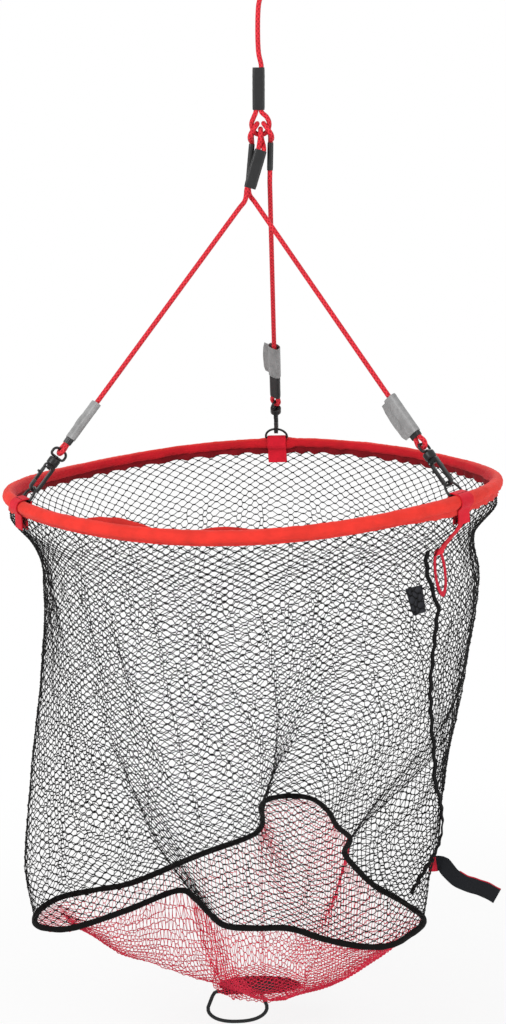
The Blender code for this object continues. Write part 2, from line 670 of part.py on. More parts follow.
def build_swivel(side_name, holder, turn):
    """The turning bail with its stem, the lower eye and the sleeve that grips the cord."""
    spin = empty(f"swivel_axis_{side_name}", Matrix.Rotation(math.radians(turn), 4, "Z"), holder)
    half = (BAIL_WIDTH - BAIL_WIRE) / 2
    low = BAIL_FOOT + BAIL_WIRE / 2
    high = BAIL_TOP - BAIL_WIRE / 2
    corner = 3.2 * MM
    crown = 5.4 * MM
    outline = arc((half - corner, low + corner), corner, -90, 0, 3)
    outline += arc((half - crown, high - crown), crown, 0, 90, 4)
    outline += arc((crown - half, high - crown), crown, 90, 180, 4)
    outline += arc((corner - half, low + corner), corner, 180, 270, 3)
    points = [Vector((x, 0.0, z)) for x, z in outline]
    sections = tube_sections(points, BAIL_WIRE / 2, 8)
    bail = swept_section(f"swivel_bail_{side_name}", sections, BLACK_METAL, spin, True)
    head_top = HOOK_LOOP_TOP - SEAT_GAP
    head_low = head_top - STEM_HEAD_LENGTH
    stem = turned_rod(f"cut_stem_{side_name}", (
        (STEM_HEAD_DIAMETER / 2, head_low), (STEM_HEAD_DIAMETER / 2, head_top), (STEM_DIAMETER / 2, head_top),
        (STEM_DIAMETER / 2, BAIL_FOOT + BAIL_WIRE * 0.6)), 12, None, spin)
    combine(bail, stem, "UNION")
    rise = BAIL_WIRE / 2 + SEAT_GAP + CORD_DIAMETER / 2
    bend = BAIL_TOP - BAIL_WIRE / 2
    eye = [(STRAND_OFFSET, EYE_END), (STRAND_OFFSET, SHRINK_BOTTOM + 14 * MM), (STRAND_OFFSET, SHRINK_BOTTOM)]
    eye += [(rise + 0.3 * MM, bend + 1.5 * MM)]
    eye += arc((0.0, bend), rise, -15, -165, 5)
    eye += [(-rise - 0.3 * MM, bend + 1.5 * MM), (-STRAND_OFFSET, SHRINK_BOTTOM)]
    eye += [(-STRAND_OFFSET, SHRINK_BOTTOM + 14 * MM), (-STRAND_OFFSET, EYE_END)]
    path = open_curve([(0.0, y, z) for y, z in eye], 4.4 * MM)
    cord(f"lower_eye_{side_name}", path, CORD_DIAMETER, RED_CORD, spin, rounding=1)
    inner = [(y, x) for x, y in oval(PAIR_WIDTH, PAIR_DEPTH)]
    outer = [(y, x) for x, y in oval(SHRINK_WIDTH, SHRINK_DEPTH)]
    pipe(f"lower_shrink_{side_name}", inner, outer, SHRINK_BOTTOM, SHRINK_TOP, SHRINK, spin, None)
    return spin


def build_wrap(side_name, spin, foot, flap_side):
    """The loose grey tape sleeve with its flat flap."""
    width = SHRINK_WIDTH + 2 * SEAT_GAP
    depth = SHRINK_DEPTH + 2 * SEAT_GAP
    place = empty(f"wrap_place_{side_name}", Matrix.Translation((0.0, 0.0, foot)), spin)
    inner = [(y, x) for x, y in oval(width, depth)]
    outer = [(y, x) for x, y in oval(width + 2 * WRAP_WALL, depth + 2 * WRAP_WALL)]
    wrap = pipe(f"tape_wrap_{side_name}", inner, outer, 0.0, WRAP_LENGTH, GREY_TAPE, place, None)
    near = width / 2 + WRAP_WALL / 2
    far = width / 2 + WRAP_WALL + WRAP_FLAP
    outline = [(near, 0.0), (far, 3 * MM), (far, WRAP_LENGTH - 5 * MM), (near, WRAP_LENGTH - 1 * MM)]
    facing = Matrix.Diagonal((1.0, flap_side, 1.0, 1.0)) @ STANDING
    flap = plate(f"cut_flap_{side_name}", outline, WRAP_WALL * 0.9, None, place, None, facing)
    combine(wrap, flap, "UNION")


def leg_target(name):
    """The point just below the upper sleeve that the leg runs to."""
    top, bottom = UPPER_SLEEVES[name][:2]
    return bottom - (top - bottom).normalized() * SLEEVE_LEAD


def eye_route(name):
    """The upper eye: from the tail in its sleeve, over the haul line's eye and back down."""
    top, bottom, width = UPPER_SLEEVES[name]
    along = (top - bottom).normalized()
    side = (width - along * width.dot(along)).normalized() * STRAND_OFFSET
    length = (top - bottom).length
    levels = [2 * MM, 12 * MM, length - 12 * MM, length - 4 * MM, length + MOUTH_RUN]
    route = [bottom + side + along * level for level in levels]
    route += [hub_point + ACROSS * (x * MM) + DEEP * (y * MM) + UP * (z * MM) for x, y, z in EYE_ROUTES[name]]
    levels = [length + MOUTH_RUN, length - 4 * MM, length - 12 * MM, 12 * MM, 4 * MM, -MOUTH_RUN]
    route += [bottom - side + along * level for level in levels]
    return route


def build_leg(name, touch, leg):
    """One leg of the bridle with its upper eye, ending in the lower sleeve's grip."""
    low = touch + leg * CORD_END
    reach = (leg_target(name) - low).dot(leg)
    route = eye_route(name)
    route += [low + leg * (reach - back * MM) for back in (4, 16, 40)]
    bend = open_curve(route, CORD_DIAMETER * 0.75)
    run = [Vector(p) for p in bend]
    last = run[-1]
    pieces = max(2, round((last - low).length / LEG_NODE_SPACING))
    run += [last.lerp(low, k / pieces) for k in range(1, pieces + 1)]
    cord(f"leg_cord_{name}", run, CORD_DIAMETER, RED_CORD, HOOP, rounding=1)
    top, bottom, width = UPPER_SLEEVES[name]
    placing = upper_sleeve_placing(top, bottom, width)
    inner = oval(PAIR_WIDTH, PAIR_DEPTH)
    outer = oval(SHRINK_WIDTH, SHRINK_DEPTH)
    pipe(f"upper_shrink_{name}", inner, outer, 0.0, (top - bottom).length, SHRINK, HOOP, placing)


def build_supports():
    """The three supports, each with its tab, D-ring, swivel hook, sleeves and leg."""
    for name, angle, gate_side, turn, wrap_foot, flap_side in SUPPORTS:
        seat, tangent, ring, bar, touch, leg = support_frame(angle, leg_target(name))
        build_tab(f"webbing_tab_{name}", seat, tangent, ring)
        ring_holder = empty(f"ring_axis_{name}", axes(bar, tangent, ring), HOOP)
        build_ring(f"d_ring_{name}", ring_holder)
        holder = empty(f"hook_place_{name}", axes(touch, tangent, leg), HOOP)
        build_hook(name, holder, gate_side)
        spin = build_swivel(name, holder, turn)
        build_wrap(name, spin, wrap_foot, flap_side)
        build_leg(name, touch, leg)


def build_haul_line():
    """The haul line: one rope with an eye at each end, and the sleeve on each eye."""
    offset = STRAND_OFFSET
    run_in = 2 * MM
    merge = 18 * MM
    shrink_top = HAUL_SHRINK_BOTTOM + HAUL_SHRINK_LENGTH
    hand_top = HAND_SHRINK_BOTTOM + HAUL_SHRINK_LENGTH
    lower = [on_haul(shrink_top - 3 * MM, -offset), on_haul(shrink_top - 25 * MM, -offset)]
    lower += [on_haul(HAUL_SHRINK_BOTTOM + 6 * MM, -offset), on_haul(HAUL_SHRINK_BOTTOM - run_in, -offset)]
    loop = [(-7.8, 20.5), (-10.6, 13.0), (-8.6, 4.6), (-4.6, 0.9), (0.0, 0.0)]
    loop += [(-across, up) for across, up in reversed(loop[:-1])]
    lower += [hub_point + ACROSS * (across * MM) + UP * (up * MM) for across, up in loop]
    lower += [on_haul(HAUL_SHRINK_BOTTOM - run_in, offset), on_haul(HAUL_SHRINK_BOTTOM + 6 * MM, offset)]
    lower += [on_haul(shrink_top - 14 * MM, offset), on_haul(shrink_top + run_in, offset)]
    lower += [on_haul(shrink_top + merge)]
    wide = HAND_LOOP_HALF_WIDTH
    upper = [on_haul(HAND_SHRINK_BOTTOM - merge), on_haul(HAND_SHRINK_BOTTOM - run_in, offset)]
    upper += [on_haul(HAND_SHRINK_BOTTOM + 14 * MM, offset), on_haul(hand_top - 14 * MM, offset)]
    side = [(hand_top, offset), (hand_top + 8 * MM, offset + 1 * MM), (hand_top + 26 * MM, wide * 0.6)]
    side += [(hand_top + 52 * MM, wide)]
    side += [(hand_top + 82 * MM, wide * 0.74)]
    upper += [on_haul(height, reach) for height, reach in side]
    upper += [on_haul(HAND_LOOP_TOP)]
    upper += [on_haul(height, -reach) for height, reach in reversed(side)]
    upper += [on_haul(hand_top - 14 * MM, -offset), on_haul(HAND_SHRINK_BOTTOM + 14 * MM, -offset)]
    upper += [on_haul(HAND_SHRINK_BOTTOM + 3 * MM, -offset)]
    path = open_curve(lower + upper, CORD_DIAMETER * 1.25)
    cord("haul_line", path, CORD_DIAMETER, RED_CORD, HOOP)
    inner = oval(PAIR_WIDTH, PAIR_DEPTH)
    outer = oval(SHRINK_WIDTH, SHRINK_DEPTH)
    for name, foot in (("haul_shrink", HAUL_SHRINK_BOTTOM), ("hand_loop_shrink", HAND_SHRINK_BOTTOM)):
        placing = axes(on_haul(foot), ACROSS, HAUL_LEAN)
        pipe(name, inner, outer, 0.0, HAUL_SHRINK_LENGTH, SHRINK, HOOP, placing)


seam_scale = np.array((HOOP_RADIUS / SEAM_HOOP, HOOP_RADIUS / SEAM_HOOP, 1.0))
seam_path = closed_curve(np.array(SEAM_POINTS) * MM * seam_scale, SEAM_STEPS)


def seam_point(share):
    """A point on the bottom seam, by its share of the run."""
    place = (share % 1.0) * SEAM_STEPS
    low = int(place) % SEAM_STEPS
    high = (low + 1) % SEAM_STEPS
    part = place - int(place)
    return Vector(seam_path[low] * (1 - part) + seam_path[high] * part)


def row_point(angle, row):
    """The middle of the net wall's thickness in one of its rows."""
    share = NET_ROWS[row]
    top = hoop_point(angle, 0.0, -SLEEVE_RADIUS - HEM_DROP - NET_STRAIGHT)
    run = ((angle - SEAM_START_ANGLE) % 360) / 360
    bottom = seam_point(run) + UP * (SEAM_DIAMETER / 2 + NET_SEAT_GAP)
    left = (1 - math.cos(math.radians(angle) - VIEW_TURN)) / 2
    belly = LEFT_BELLY[row] * left + RIGHT_BELLY[row] * (1 - left)
    plan = top.lerp(bottom, share ** FOLD_POWER) * belly
    return Vector((plan.x, plan.y, top.z + (bottom.z - top.z) * share))


def net_point(angle, height_share):
    """The middle of the net wall's thickness, from just below the tabs (0) to the seam (1)."""
    row = 0
    while row < len(NET_ROWS) - 2 and NET_ROWS[row + 1] < height_share:
        row += 1
    part = (height_share - NET_ROWS[row]) / (NET_ROWS[row + 1] - NET_ROWS[row])
    return row_point(angle, row).lerp(row_point(angle, row + 1), part)


def net_normal(angle, height_share):
    """The wall's outward direction."""
    step = 2.0
    along = net_point(angle + step, height_share) - net_point(angle - step, height_share)
    low = min(1.0, height_share + 0.04)
    high = max(0.0, height_share - 0.04)
    rise = net_point(angle, high) - net_point(angle, low)
    return along.cross(rise).normalized()


def build_wall():
    """The net's side wall as a thin sleeve, open at the hem and at the seam."""
    half = NET_THICKNESS / 2
    sections = []
    for angle in hoop_angles():
        turn = math.radians(angle)
        normal = Vector((math.cos(turn), math.sin(turn), 0.0))
        head = net_point(angle, 0.0) + UP * (NET_HEM_OVERLAP + NET_STRAIGHT)
        outer = [head + normal * half]
        inner = [head - normal * half]
        for share in NET_ROWS:
            point = net_point(angle, share)
            if share > 0.0:
                normal = net_normal(angle, share)
            if share == 1.0:
                normal = Vector((normal.x, normal.y, 0.0)).normalized()
            outer.append(point + normal * half)
            inner.append(point - normal * half)
        sections.append(outer + inner[::-1])
    wall = swept_section("net_wall", sections, BLACK_NET, HOOP, True, smooth=60)
    split_faces(wall, len(sections[0]))
    path = [Vector(p) for p in seam_path]
    cord("bottom_seam", path, SEAM_DIAMETER, BLACK_TAPE, HOOP, closed=True, rounding=1)


def floor_height(spot, centre, edge):
    """Height of the hanging floor: a wide bowl that turns up steeply to the bottom seam."""
    nearest = min(edge, key=lambda p: (p.x - spot.x) ** 2 + (p.y - spot.y) ** 2)
    run = math.hypot(nearest.x - spot.x, nearest.y - spot.y)
    bowl = -FLOOR_DEPTH + FLOOR_RISE * ((spot - centre).length / FLOOR_REACH) ** 2
    bowl = min(bowl, nearest.z)
    return bowl + (nearest.z - bowl) * math.exp(-run / FLOOR_SHOULDER)


def build_floor():
    """The red net floor: a shallow dish from the bottom seam down to the base patch."""
    edge = [seam_point(k / 60) for k in range(60)]
    drop = SEAM_DIAMETER / 2 + NET_SEAT_GAP + FLOOR_THICKNESS / 2
    plan = [Vector((p.x, p.y)) for p in edge]
    centre = Vector(HANDLE_CENTRE)
    middle = (BASE_PATCH_LENGTH / 2, BASE_PATCH_WIDTH / 2)
    patch = [centre + PATCH_SHIFT + Vector((x * 1.12, y * 1.12)) for x, y in
             [(middle[0] * math.cos(t), middle[1] * math.sin(t)) for t in
              [2 * math.pi * k / 12 for k in range(12)]]]
    inside = list(patch) + [centre + PATCH_SHIFT]
    rows = int(0.6 / (FLOOR_GRID * 0.87))
    for row in range(-rows, rows):
        for column in range(-rows, rows):
            spot = Vector(((column + 0.5 * (row % 2)) * FLOOR_GRID, row * FLOOR_GRID * 0.87))
            clear_edge = min((spot - p).length for p in plan) > FLOOR_GRID * 0.45
            offset = spot - centre - PATCH_SHIFT
            off_patch = math.hypot(offset.x / middle[0], offset.y / middle[1]) > 1.5
            if clear_edge and off_patch and inside_outline(spot, plan):
                inside.append(spot)
    count = len(plan)
    ring = [(k, (k + 1) % count) for k in range(count)]
    result = geometry.delaunay_2d_cdt(plan + inside, ring, [list(range(count))], 1, 1e-6)
    spots, triangles = result[0], result[2]
    rim = [p - UP * drop for p in edge]
    low_centre = centre + PATCH_SHIFT
    heights = []
    for i, spot in enumerate(spots):
        if i < count:
            heights.append(rim[i].z)
        elif i < count + len(patch) + 1:
            heights.append(-FLOOR_DEPTH)
        else:
            heights.append(floor_height(spot, low_centre, rim))
    half = FLOOR_THICKNESS / 2
    total = len(spots)
    points = [(p.x, p.y, h + half) for p, h in zip(spots, heights)]
    points += [(p.x, p.y, h - half) for p, h in zip(spots, heights)]
    faces = [tuple(t) for t in triangles]
    faces += [tuple(i + total for i in reversed(t)) for t in triangles]
    for k in range(count):
        nxt = (k + 1) % count
        faces.append((k, nxt, nxt + total, k + total))
    mesh_object("net_floor", points, faces, RED_NET, HOOP, smooth=60)


def inside_outline(spot, outline):
    """Whether a plan point is inside a closed outline."""
    inside = False
    for k, a in enumerate(outline):
        b = outline[k - 1]
        if (a.y > spot.y) != (b.y > spot.y):
            if spot.x < (b.x - a.x) * (spot.y - a.y) / (b.y - a.y) + a.x:
                inside = not inside
    return inside


PATCH_SHIFT = Vector((30 * MM, 4 * MM))


def band(name, spine, widths, thickness, material, parent, matrix=None, smooth=50):
    """A flat strip along spine points, with one width direction per point."""
    half = thickness / 2
    sections = []
    for i, (point, side) in enumerate(zip(spine, widths)):
        ahead = spine[min(i + 1, len(spine) - 1)] - spine[max(i - 1, 0)]
        face = ahead.cross(side).normalized() * half
        sections.append([point - side - face, point + side - face, point + side + face, point - side + face])
    return swept_section(name, sections, material, parent, False, matrix, smooth)


SIDE_ANGLE = 321
# How far the side seam strays from that angle, in degrees, at these shares of the net's height
TAPE_SHARES = (SIDE_TAPE_START, 0.2, 0.4, 0.6, 0.78, 0.9, SIDE_TAPE_END)
TAPE_TURNS = (0.5, 3.0, -5.0, -10.5, -5.5, -1.8, 0.0)
TAPE_STEPS = 4
# Where the patch and the label sit: degrees from the seam's angle and share of the net's height
PATCH_TURN = 6.9
PATCH_SHARE = 0.12
LABEL_TURN = -3.4
LABEL_SHARE = 0.165
TAPE_LIFT = NET_THICKNESS / 2 + SEAT_GAP + SIDE_TAPE_THICKNESS / 2 + 0.5 * MM
TAPE_TOP = TAPE_LIFT + SIDE_TAPE_THICKNESS / 2


def tape_angle(share):
    """The side seam's angle at a share of the net's height; the net hangs twisted there."""
    return SIDE_ANGLE + float(np.interp(share, TAPE_SHARES, TAPE_TURNS))


def build_side_trim():
    """The tape down the net's side seam, the oval patch, the label and the closing strap."""
    shares = [TAPE_SHARES[0]]
    for high, low in zip(TAPE_SHARES, TAPE_SHARES[1:]):
        shares += [high + (low - high) * k / TAPE_STEPS for k in range(1, TAPE_STEPS + 1)]
    normals = [net_normal(tape_angle(share), share) for share in shares]
    spine = [net_point(tape_angle(share), share) + n * TAPE_LIFT for share, n in zip(shares, normals)]
    widths = []
    for i, normal in enumerate(normals):
        ahead = spine[min(i + 1, len(spine) - 1)] - spine[max(i - 1, 0)]
        widths.append(ahead.cross(normal).normalized() * -SIDE_TAPE_WIDTH / 2)
    band("side_seam_tape", spine, widths, SIDE_TAPE_THICKNESS, BLACK_TAPE, HOOP)
    patch_size = (PATCH_WIDTH, PATCH_HEIGHT, PATCH_THICKNESS)
    build_badge("oval_patch", SIDE_ANGLE + PATCH_TURN, PATCH_SHARE, PATCH_GAP, patch_size, RED_FABRIC)
    label_size = (LABEL_WIDTH, LABEL_HEIGHT, LABEL_THICKNESS)
    build_badge("side_label", SIDE_ANGLE + LABEL_TURN, LABEL_SHARE, -LABEL_GAP, label_size, LABEL_GREY)
    build_strap()


def build_badge(name, angle, share, gap, size, material):
    """A flat piece sewn to the net's outer face, or to its inner face where the gap is negative."""
    width, height, thickness = size
    normal = net_normal(angle, share)
    lift = math.copysign(NET_THICKNESS / 2 + thickness / 2, gap) + gap
    centre = net_point(angle, share) + normal * lift
    placing = axes(centre, net_point(angle + 1, share) - net_point(angle - 1, share), normal)
    up_local = placing.to_3x3().inverted() @ UP
    turn = math.atan2(up_local.y, up_local.x) - math.pi / 2
    placing = placing @ Matrix.Rotation(turn, 4, "Z")
    if name == "oval_patch":
        outline = [(width / 2 * math.cos(t), height / 2 * math.sin(t)) for t in
                   [2 * math.pi * k / 24 for k in range(24)]]
    else:
        corner = 2 * MM
        x = width / 2 - corner
        y = height / 2 - corner
        outline = arc((x, y), corner, 0, 90, 2) + arc((-x, y), corner, 90, 180, 2)
        outline += arc((-x, -y), corner, 180, 270, 2) + arc((x, -y), corner, 270, 360, 2)
    plate(name, outline, thickness / 2, material, HOOP, placing)


STRAP_SHARE = 0.868
STRAP_STEM = 4.0 * MM
STRAP_ROOT_GAP = 0.9 * MM
# How far out from the tape the strap folds
STRAP_FOLD = 4.5 * MM
# The strap's run past its sewn end: across, towards the viewer and up, in mm
STRAP_RUN = ((14, 7, 0), (20, 8, -8), (29, 9, -19), (41, 10, -28))
STRAP_RUN += ((55, 10, -35), (71, 10, -43), (87, 10, -54))


def build_strap():
    """The closing strap, its end sewn to the side tape and the rest hanging free."""
    angle = tape_angle(STRAP_SHARE)
    normal = net_normal(angle, STRAP_SHARE)
    root = net_point(angle, STRAP_SHARE) + normal * (TAPE_TOP + STRAP_ROOT_GAP)
    fold = normal * STRAP_FOLD
    spine = [-fold, normal * STRAP_STEM - fold]
    for across, near, up in STRAP_RUN:
        spine.append(ACROSS * (across * MM) - DEEP * (near * MM) + UP * (up * MM) - fold)
    widths = []
    for i in range(len(spine)):
        ahead = (spine[min(i + 1, len(spine) - 1)] - spine[max(i - 1, 0)]).normalized()
        widths.append((UP - ahead * UP.dot(ahead)).normalized() * STRAP_WIDTH / 2)
    holder = empty("strap_axis", axes(root + fold, normal, widths[0]), HOOP)
    turned = holder.matrix_local.to_3x3().inverted()
    spine = [turned @ point for point in spine]
    widths = [turned @ side for side in widths]
    band("closing_strap", spine, widths, STRAP_THICKNESS, WEBBING, holder)


def build_base():
    """The patch inside the floor, the keeper under it and the hanging handle."""
    floor_top = -FLOOR_DEPTH + FLOOR_THICKNESS / 2
    floor_low = -FLOOR_DEPTH - FLOOR_THICKNESS / 2
    length = BASE_PATCH_LENGTH / 2
    width = BASE_PATCH_WIDTH / 2
    outline = [(length * math.cos(t), width * math.sin(t)) for t in [2 * math.pi * k / 28 for k in range(28)]]
    middle = floor_top + SEAT_GAP + BASE_PATCH_THICKNESS / 2
    place = Vector((HANDLE_CENTRE[0] + PATCH_SHIFT.x, HANDLE_CENTRE[1] + PATCH_SHIFT.y, middle))
    plate("base_patch", outline, BASE_PATCH_THICKNESS / 2, WEBBING, HOOP, Matrix.Translation(place))
    inner = HANDLE_WIRE / 2 + SEAT_GAP
    outer = inner + KEEPER_THICKNESS
    bar_height = floor_low - SEAT_GAP - outer
    bar = Vector((*HANDLE_CENTRE, bar_height))
    holder = empty("handle_axis", axes(bar, -UP, ACROSS), HOOP)
    ring_in = arc((0, 0), inner, 0, 330, 11)
    ring_out = arc((0, 0), outer, 0, 330, 11)
    half = KEEPER_WIDTH / 2
    pipe("handle_keeper", ring_in, ring_out, -half, half, WEBBING, holder, None)
    top = HANDLE_TOP_WIDTH / 2
    side = HANDLE_WIDTH / 2
    low = [(top, 0.0), (side, HANDLE_SHOULDER)]
    for k in range(1, 10):
        turn = math.pi * k / 10
        depth = (HANDLE_HEIGHT - HANDLE_SHOULDER) * math.sin(turn)
        low.append((side * math.cos(turn), HANDLE_SHOULDER + depth))
    low += [(-side, HANDLE_SHOULDER), (-top, 0.0)]
    points = [(down, 0.0, across) for across, down in low]
    cord("base_handle", points, HANDLE_WIRE, WEBBING, holder, closed=True)


build_hoop()
build_supports()
build_haul_line()
build_wall()
build_floor()
build_side_trim()
build_base()
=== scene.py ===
"""The drop net's looks: its netting, cloth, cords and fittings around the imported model."""

import math

import bmesh
import bpy
import numpy as np
from mathutils import Matrix, Vector, noise


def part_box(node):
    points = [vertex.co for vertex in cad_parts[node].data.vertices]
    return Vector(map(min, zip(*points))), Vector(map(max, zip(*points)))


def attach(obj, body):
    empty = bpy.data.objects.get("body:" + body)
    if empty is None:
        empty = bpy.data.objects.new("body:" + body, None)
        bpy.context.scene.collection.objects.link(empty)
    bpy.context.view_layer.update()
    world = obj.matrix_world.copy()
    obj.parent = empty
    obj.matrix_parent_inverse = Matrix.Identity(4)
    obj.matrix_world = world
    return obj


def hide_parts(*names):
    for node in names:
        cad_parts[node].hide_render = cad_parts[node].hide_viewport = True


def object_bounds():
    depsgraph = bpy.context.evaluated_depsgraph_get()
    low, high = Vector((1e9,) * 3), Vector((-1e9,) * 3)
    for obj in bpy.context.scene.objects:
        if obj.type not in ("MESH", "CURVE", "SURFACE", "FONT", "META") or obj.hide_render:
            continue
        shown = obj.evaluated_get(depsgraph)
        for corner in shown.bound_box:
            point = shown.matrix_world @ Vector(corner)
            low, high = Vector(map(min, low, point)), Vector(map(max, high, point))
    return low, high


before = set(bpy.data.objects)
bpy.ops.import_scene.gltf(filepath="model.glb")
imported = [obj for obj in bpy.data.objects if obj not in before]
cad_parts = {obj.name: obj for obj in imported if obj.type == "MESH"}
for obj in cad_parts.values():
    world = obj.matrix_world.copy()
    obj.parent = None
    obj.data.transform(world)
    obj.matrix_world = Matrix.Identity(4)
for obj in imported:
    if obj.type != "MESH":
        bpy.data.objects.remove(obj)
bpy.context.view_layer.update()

MM = 0.001
UP = Vector((0.0, 0.0, 1.0))

# Sizes that the source has too
SEAT_GAP = 0.3 * MM
HOOP_RADIUS = 300 * MM
HOOP_SAG = 9.4 * MM
HOOP_STEPS = 60
SLEEVE_RADIUS = 8.25 * MM
HEM_DROP = 6.0 * MM
NET_STRAIGHT = 13.25 * MM
SEAM_DIAMETER = 6.0 * MM
SEAM_START_ANGLE = 322
FLOOR_DEPTH = 665 * MM
FLOOR_RISE = 131 * MM
FLOOR_REACH = 250 * MM
FLOOR_SHOULDER = 24 * MM
NET_ROWS = (0.0, 0.06, 0.2, 0.4, 0.6, 0.78, 0.9, 1.0)
LEFT_BELLY = (1.0, 0.93, 0.9, 0.93, 0.98, 1.015, 1.03, 1.0)
RIGHT_BELLY = (1.0, 0.93, 0.98, 1.06, 1.15, 1.13, 1.05, 1.0)
FOLD_POWER = 1.46
CORD_DIAMETER = 6.0 * MM
STRAND_OFFSET = 3.25 * MM
PAIR_WIDTH = 13.5 * MM
PAIR_DEPTH = 7.0 * MM
SHRINK_WALL = 0.7 * MM
SHRINK_WIDTH = PAIR_WIDTH + 2 * SHRINK_WALL
SHRINK_DEPTH = PAIR_DEPTH + 2 * SHRINK_WALL
SHRINK_LENGTH = 56 * MM
HAUL_SHRINK_LENGTH = 50 * MM
SLEEVE_LEAD = 12 * MM
MOUTH_RUN = 1.5 * MM
WRAP_WALL = 0.8 * MM
WRAP_LENGTH = 53 * MM
WRAP_FLAP = 9.0 * MM
TAB_WIDTH = 25 * MM
TAB_THICKNESS = 1.5 * MM
TAB_DROP = 26.5 * MM
RING_WIRE = 3.0 * MM
RING_RADIUS = 14.5 * MM
RING_SIDE = 3.0 * MM
HOOK_SHANK_TOP = 33 * MM
HOOK_LOOP_TOP = 28.6 * MM
BARREL_TOP = HOOK_SHANK_TOP + 9.5 * MM
BAIL_WIRE = 3.2 * MM
BAIL_WIDTH = 21.5 * MM
BAIL_FOOT = BARREL_TOP + SEAT_GAP
BAIL_TOP = BAIL_FOOT + 13.6 * MM
SHRINK_BOTTOM = BAIL_TOP + 8 * MM
SHRINK_TOP = SHRINK_BOTTOM + SHRINK_LENGTH
CORD_END = SHRINK_TOP - 12 * MM
EYE_END = CORD_END - SEAT_GAP
BAR_REACH = SLEEVE_RADIUS + SEAT_GAP + RING_WIRE / 2
HEM_HALF = 2.3 * MM
SIDE_ANGLE = 321
# How far the side seam strays from that angle, in degrees, at these shares of the net's height
TAPE_SHARES = (0.05, 0.2, 0.4, 0.6, 0.78, 0.9, 0.975)
TAPE_TURNS = (0.5, 3.0, -5.0, -10.5, -5.5, -1.8, 0.0)
PATCH_TURN = 6.9
PATCH_SHARE = 0.12
LABEL_TURN = -3.4
LABEL_SHARE = 0.165
SIDE_TAPE_WIDTH = 6.0 * MM
SIDE_TAPE_THICKNESS = 1.6 * MM
NET_THICKNESS = 1.6 * MM
TAPE_LIFT = NET_THICKNESS / 2 + SEAT_GAP + SIDE_TAPE_THICKNESS / 2 + 0.5 * MM
TAPE_TOP = TAPE_LIFT + SIDE_TAPE_THICKNESS / 2
STRAP_SHARE = 0.868
STRAP_ROOT_GAP = 0.9 * MM
STRAP_RUN = ((14, 7, 0), (20, 8, -8), (29, 9, -19), (41, 10, -28), (55, 10, -35), (71, 10, -43),
             (87, 10, -54))
HANDLE_CENTRE = (-43 * MM, -5 * MM)
PATCH_CENTRE = (-13 * MM, -1 * MM)
BASE_PATCH_LENGTH = 108 * MM
BASE_PATCH_WIDTH = 56 * MM
HANDLE_WIRE = 4.6 * MM
VIEW_TURN = math.radians(6.8239)
ACROSS = Vector((math.cos(VIEW_TURN), math.sin(VIEW_TURN), 0.0))
DEEP = Vector((-math.sin(VIEW_TURN), math.cos(VIEW_TURN), 0.0))
HUB = Vector((24.0, 0.0, 422.0)) * MM
HAUL_LEAN = (ACROSS * 0.0317 + UP).normalized()
HAUL_SHRINK_BOTTOM = 451 * MM
HAND_SHRINK_BOTTOM = 590 * MM
HAND_LOOP_TOP = 735 * MM
HAND_LOOP_HALF_WIDTH = 24 * MM
SEAM_POINTS = (
    (180, -76, -520), (142, -40, -512), (116, 9, -508), (97, 58, -504), (100, 116, -505),
    (78, 174, -508), (61, 236, -508), (35, 282, -506), (3, 289, -504), (-25, 275, -504),
    (-33, 244, -504), (-26, 198, -504), (-24, 153, -504), (-38, 120, -506), (-96, 62, -510),
    (-169, -17, -518), (-217, -36, -522), (-256, -56, -524), (-276, -93, -526), (-274, -136, -526),
    (-256, -158, -525), (-222, -159, -524), (-159, -142, -508), (-100, -98, -498),
    (-74, -121, -500), (-53, -156, -504), (-29, -186, -508), (7, -188, -510), (48, -183, -512),
    (93, -206, -516), (137, -216, -520), (167, -208, -522), (186, -178, -524), (206, -120, -525),
)
# Each support's name, angle, hook turn, wrap's foot and the side its flap points to
SUPPORTS = (
    ("rear", 90, 60, 105 * MM, -1),
    ("left", 210, 90, 72 * MM, 1),
    ("right", 330, 0, 70 * MM, 1),
)

# Sizes of the looks alone
SLEEVE_STEPS = 900
SLEEVE_TUCK = 0.20
HEM_STEPS = 1080
HEM_SIDE = 1.4 * MM
HEM_WALL_HALF = 0.65 * MM
SCALLOP_PITCH = 31 * MM
SCALLOP_DEPTH = 2.3 * MM
# Where the hem stands up inside the hoop: from and to in degrees, height in mm
HEM_TURNS = ((234, 256, 4.6), (262, 279, 1.8))
WALL_COLUMNS = 107
WALL_HALF_ROWS = 110
WALL_STRAND = 0.54 * MM
WALL_RUN = 504 * MM - 27.5 * MM
WALL_PLEAT = 5.5 * MM
KNOT_LENGTH = 5.4 * MM
KNOT_RADIUS = 0.98 * MM
KNOT_ARM = 1.9 * MM
FLOOR_PITCH = 8.2 * MM
FLOOR_ROW = 3.8 * MM
FLOOR_STEEP_ROW = 2.9 * MM
FLOOR_STEEP_BELOW = -18
FLOOR_ARM = 1.2 * MM
FLOOR_STRAND = 0.44 * MM
FLOOR_KNOT_LENGTH = 3.0 * MM
FLOOR_KNOT_RADIUS = 0.72 * MM
BINDING_RADIUS = 3.7 * MM
OVAL_WIDTH = 26 * MM
OVAL_HEIGHT = 58 * MM
OVAL_BAND = 5.2 * MM
LABEL_WIDTH = 28 * MM
LABEL_HEIGHT = 32 * MM
STRAP_HALF_WIDTH_MM = 9.5
STRAP_THICKNESS = 1.7 * MM
KEEPER_HALF = 17 * MM
KEEPER_WALL = 1.6 * MM
HANDLE_TOP_WIDTH = 59 * MM
HANDLE_WIDTH = 77 * MM
HANDLE_SHOULDER = 22 * MM
HANDLE_HEIGHT = 42 * MM
HANDLE_HELD = 19 * MM
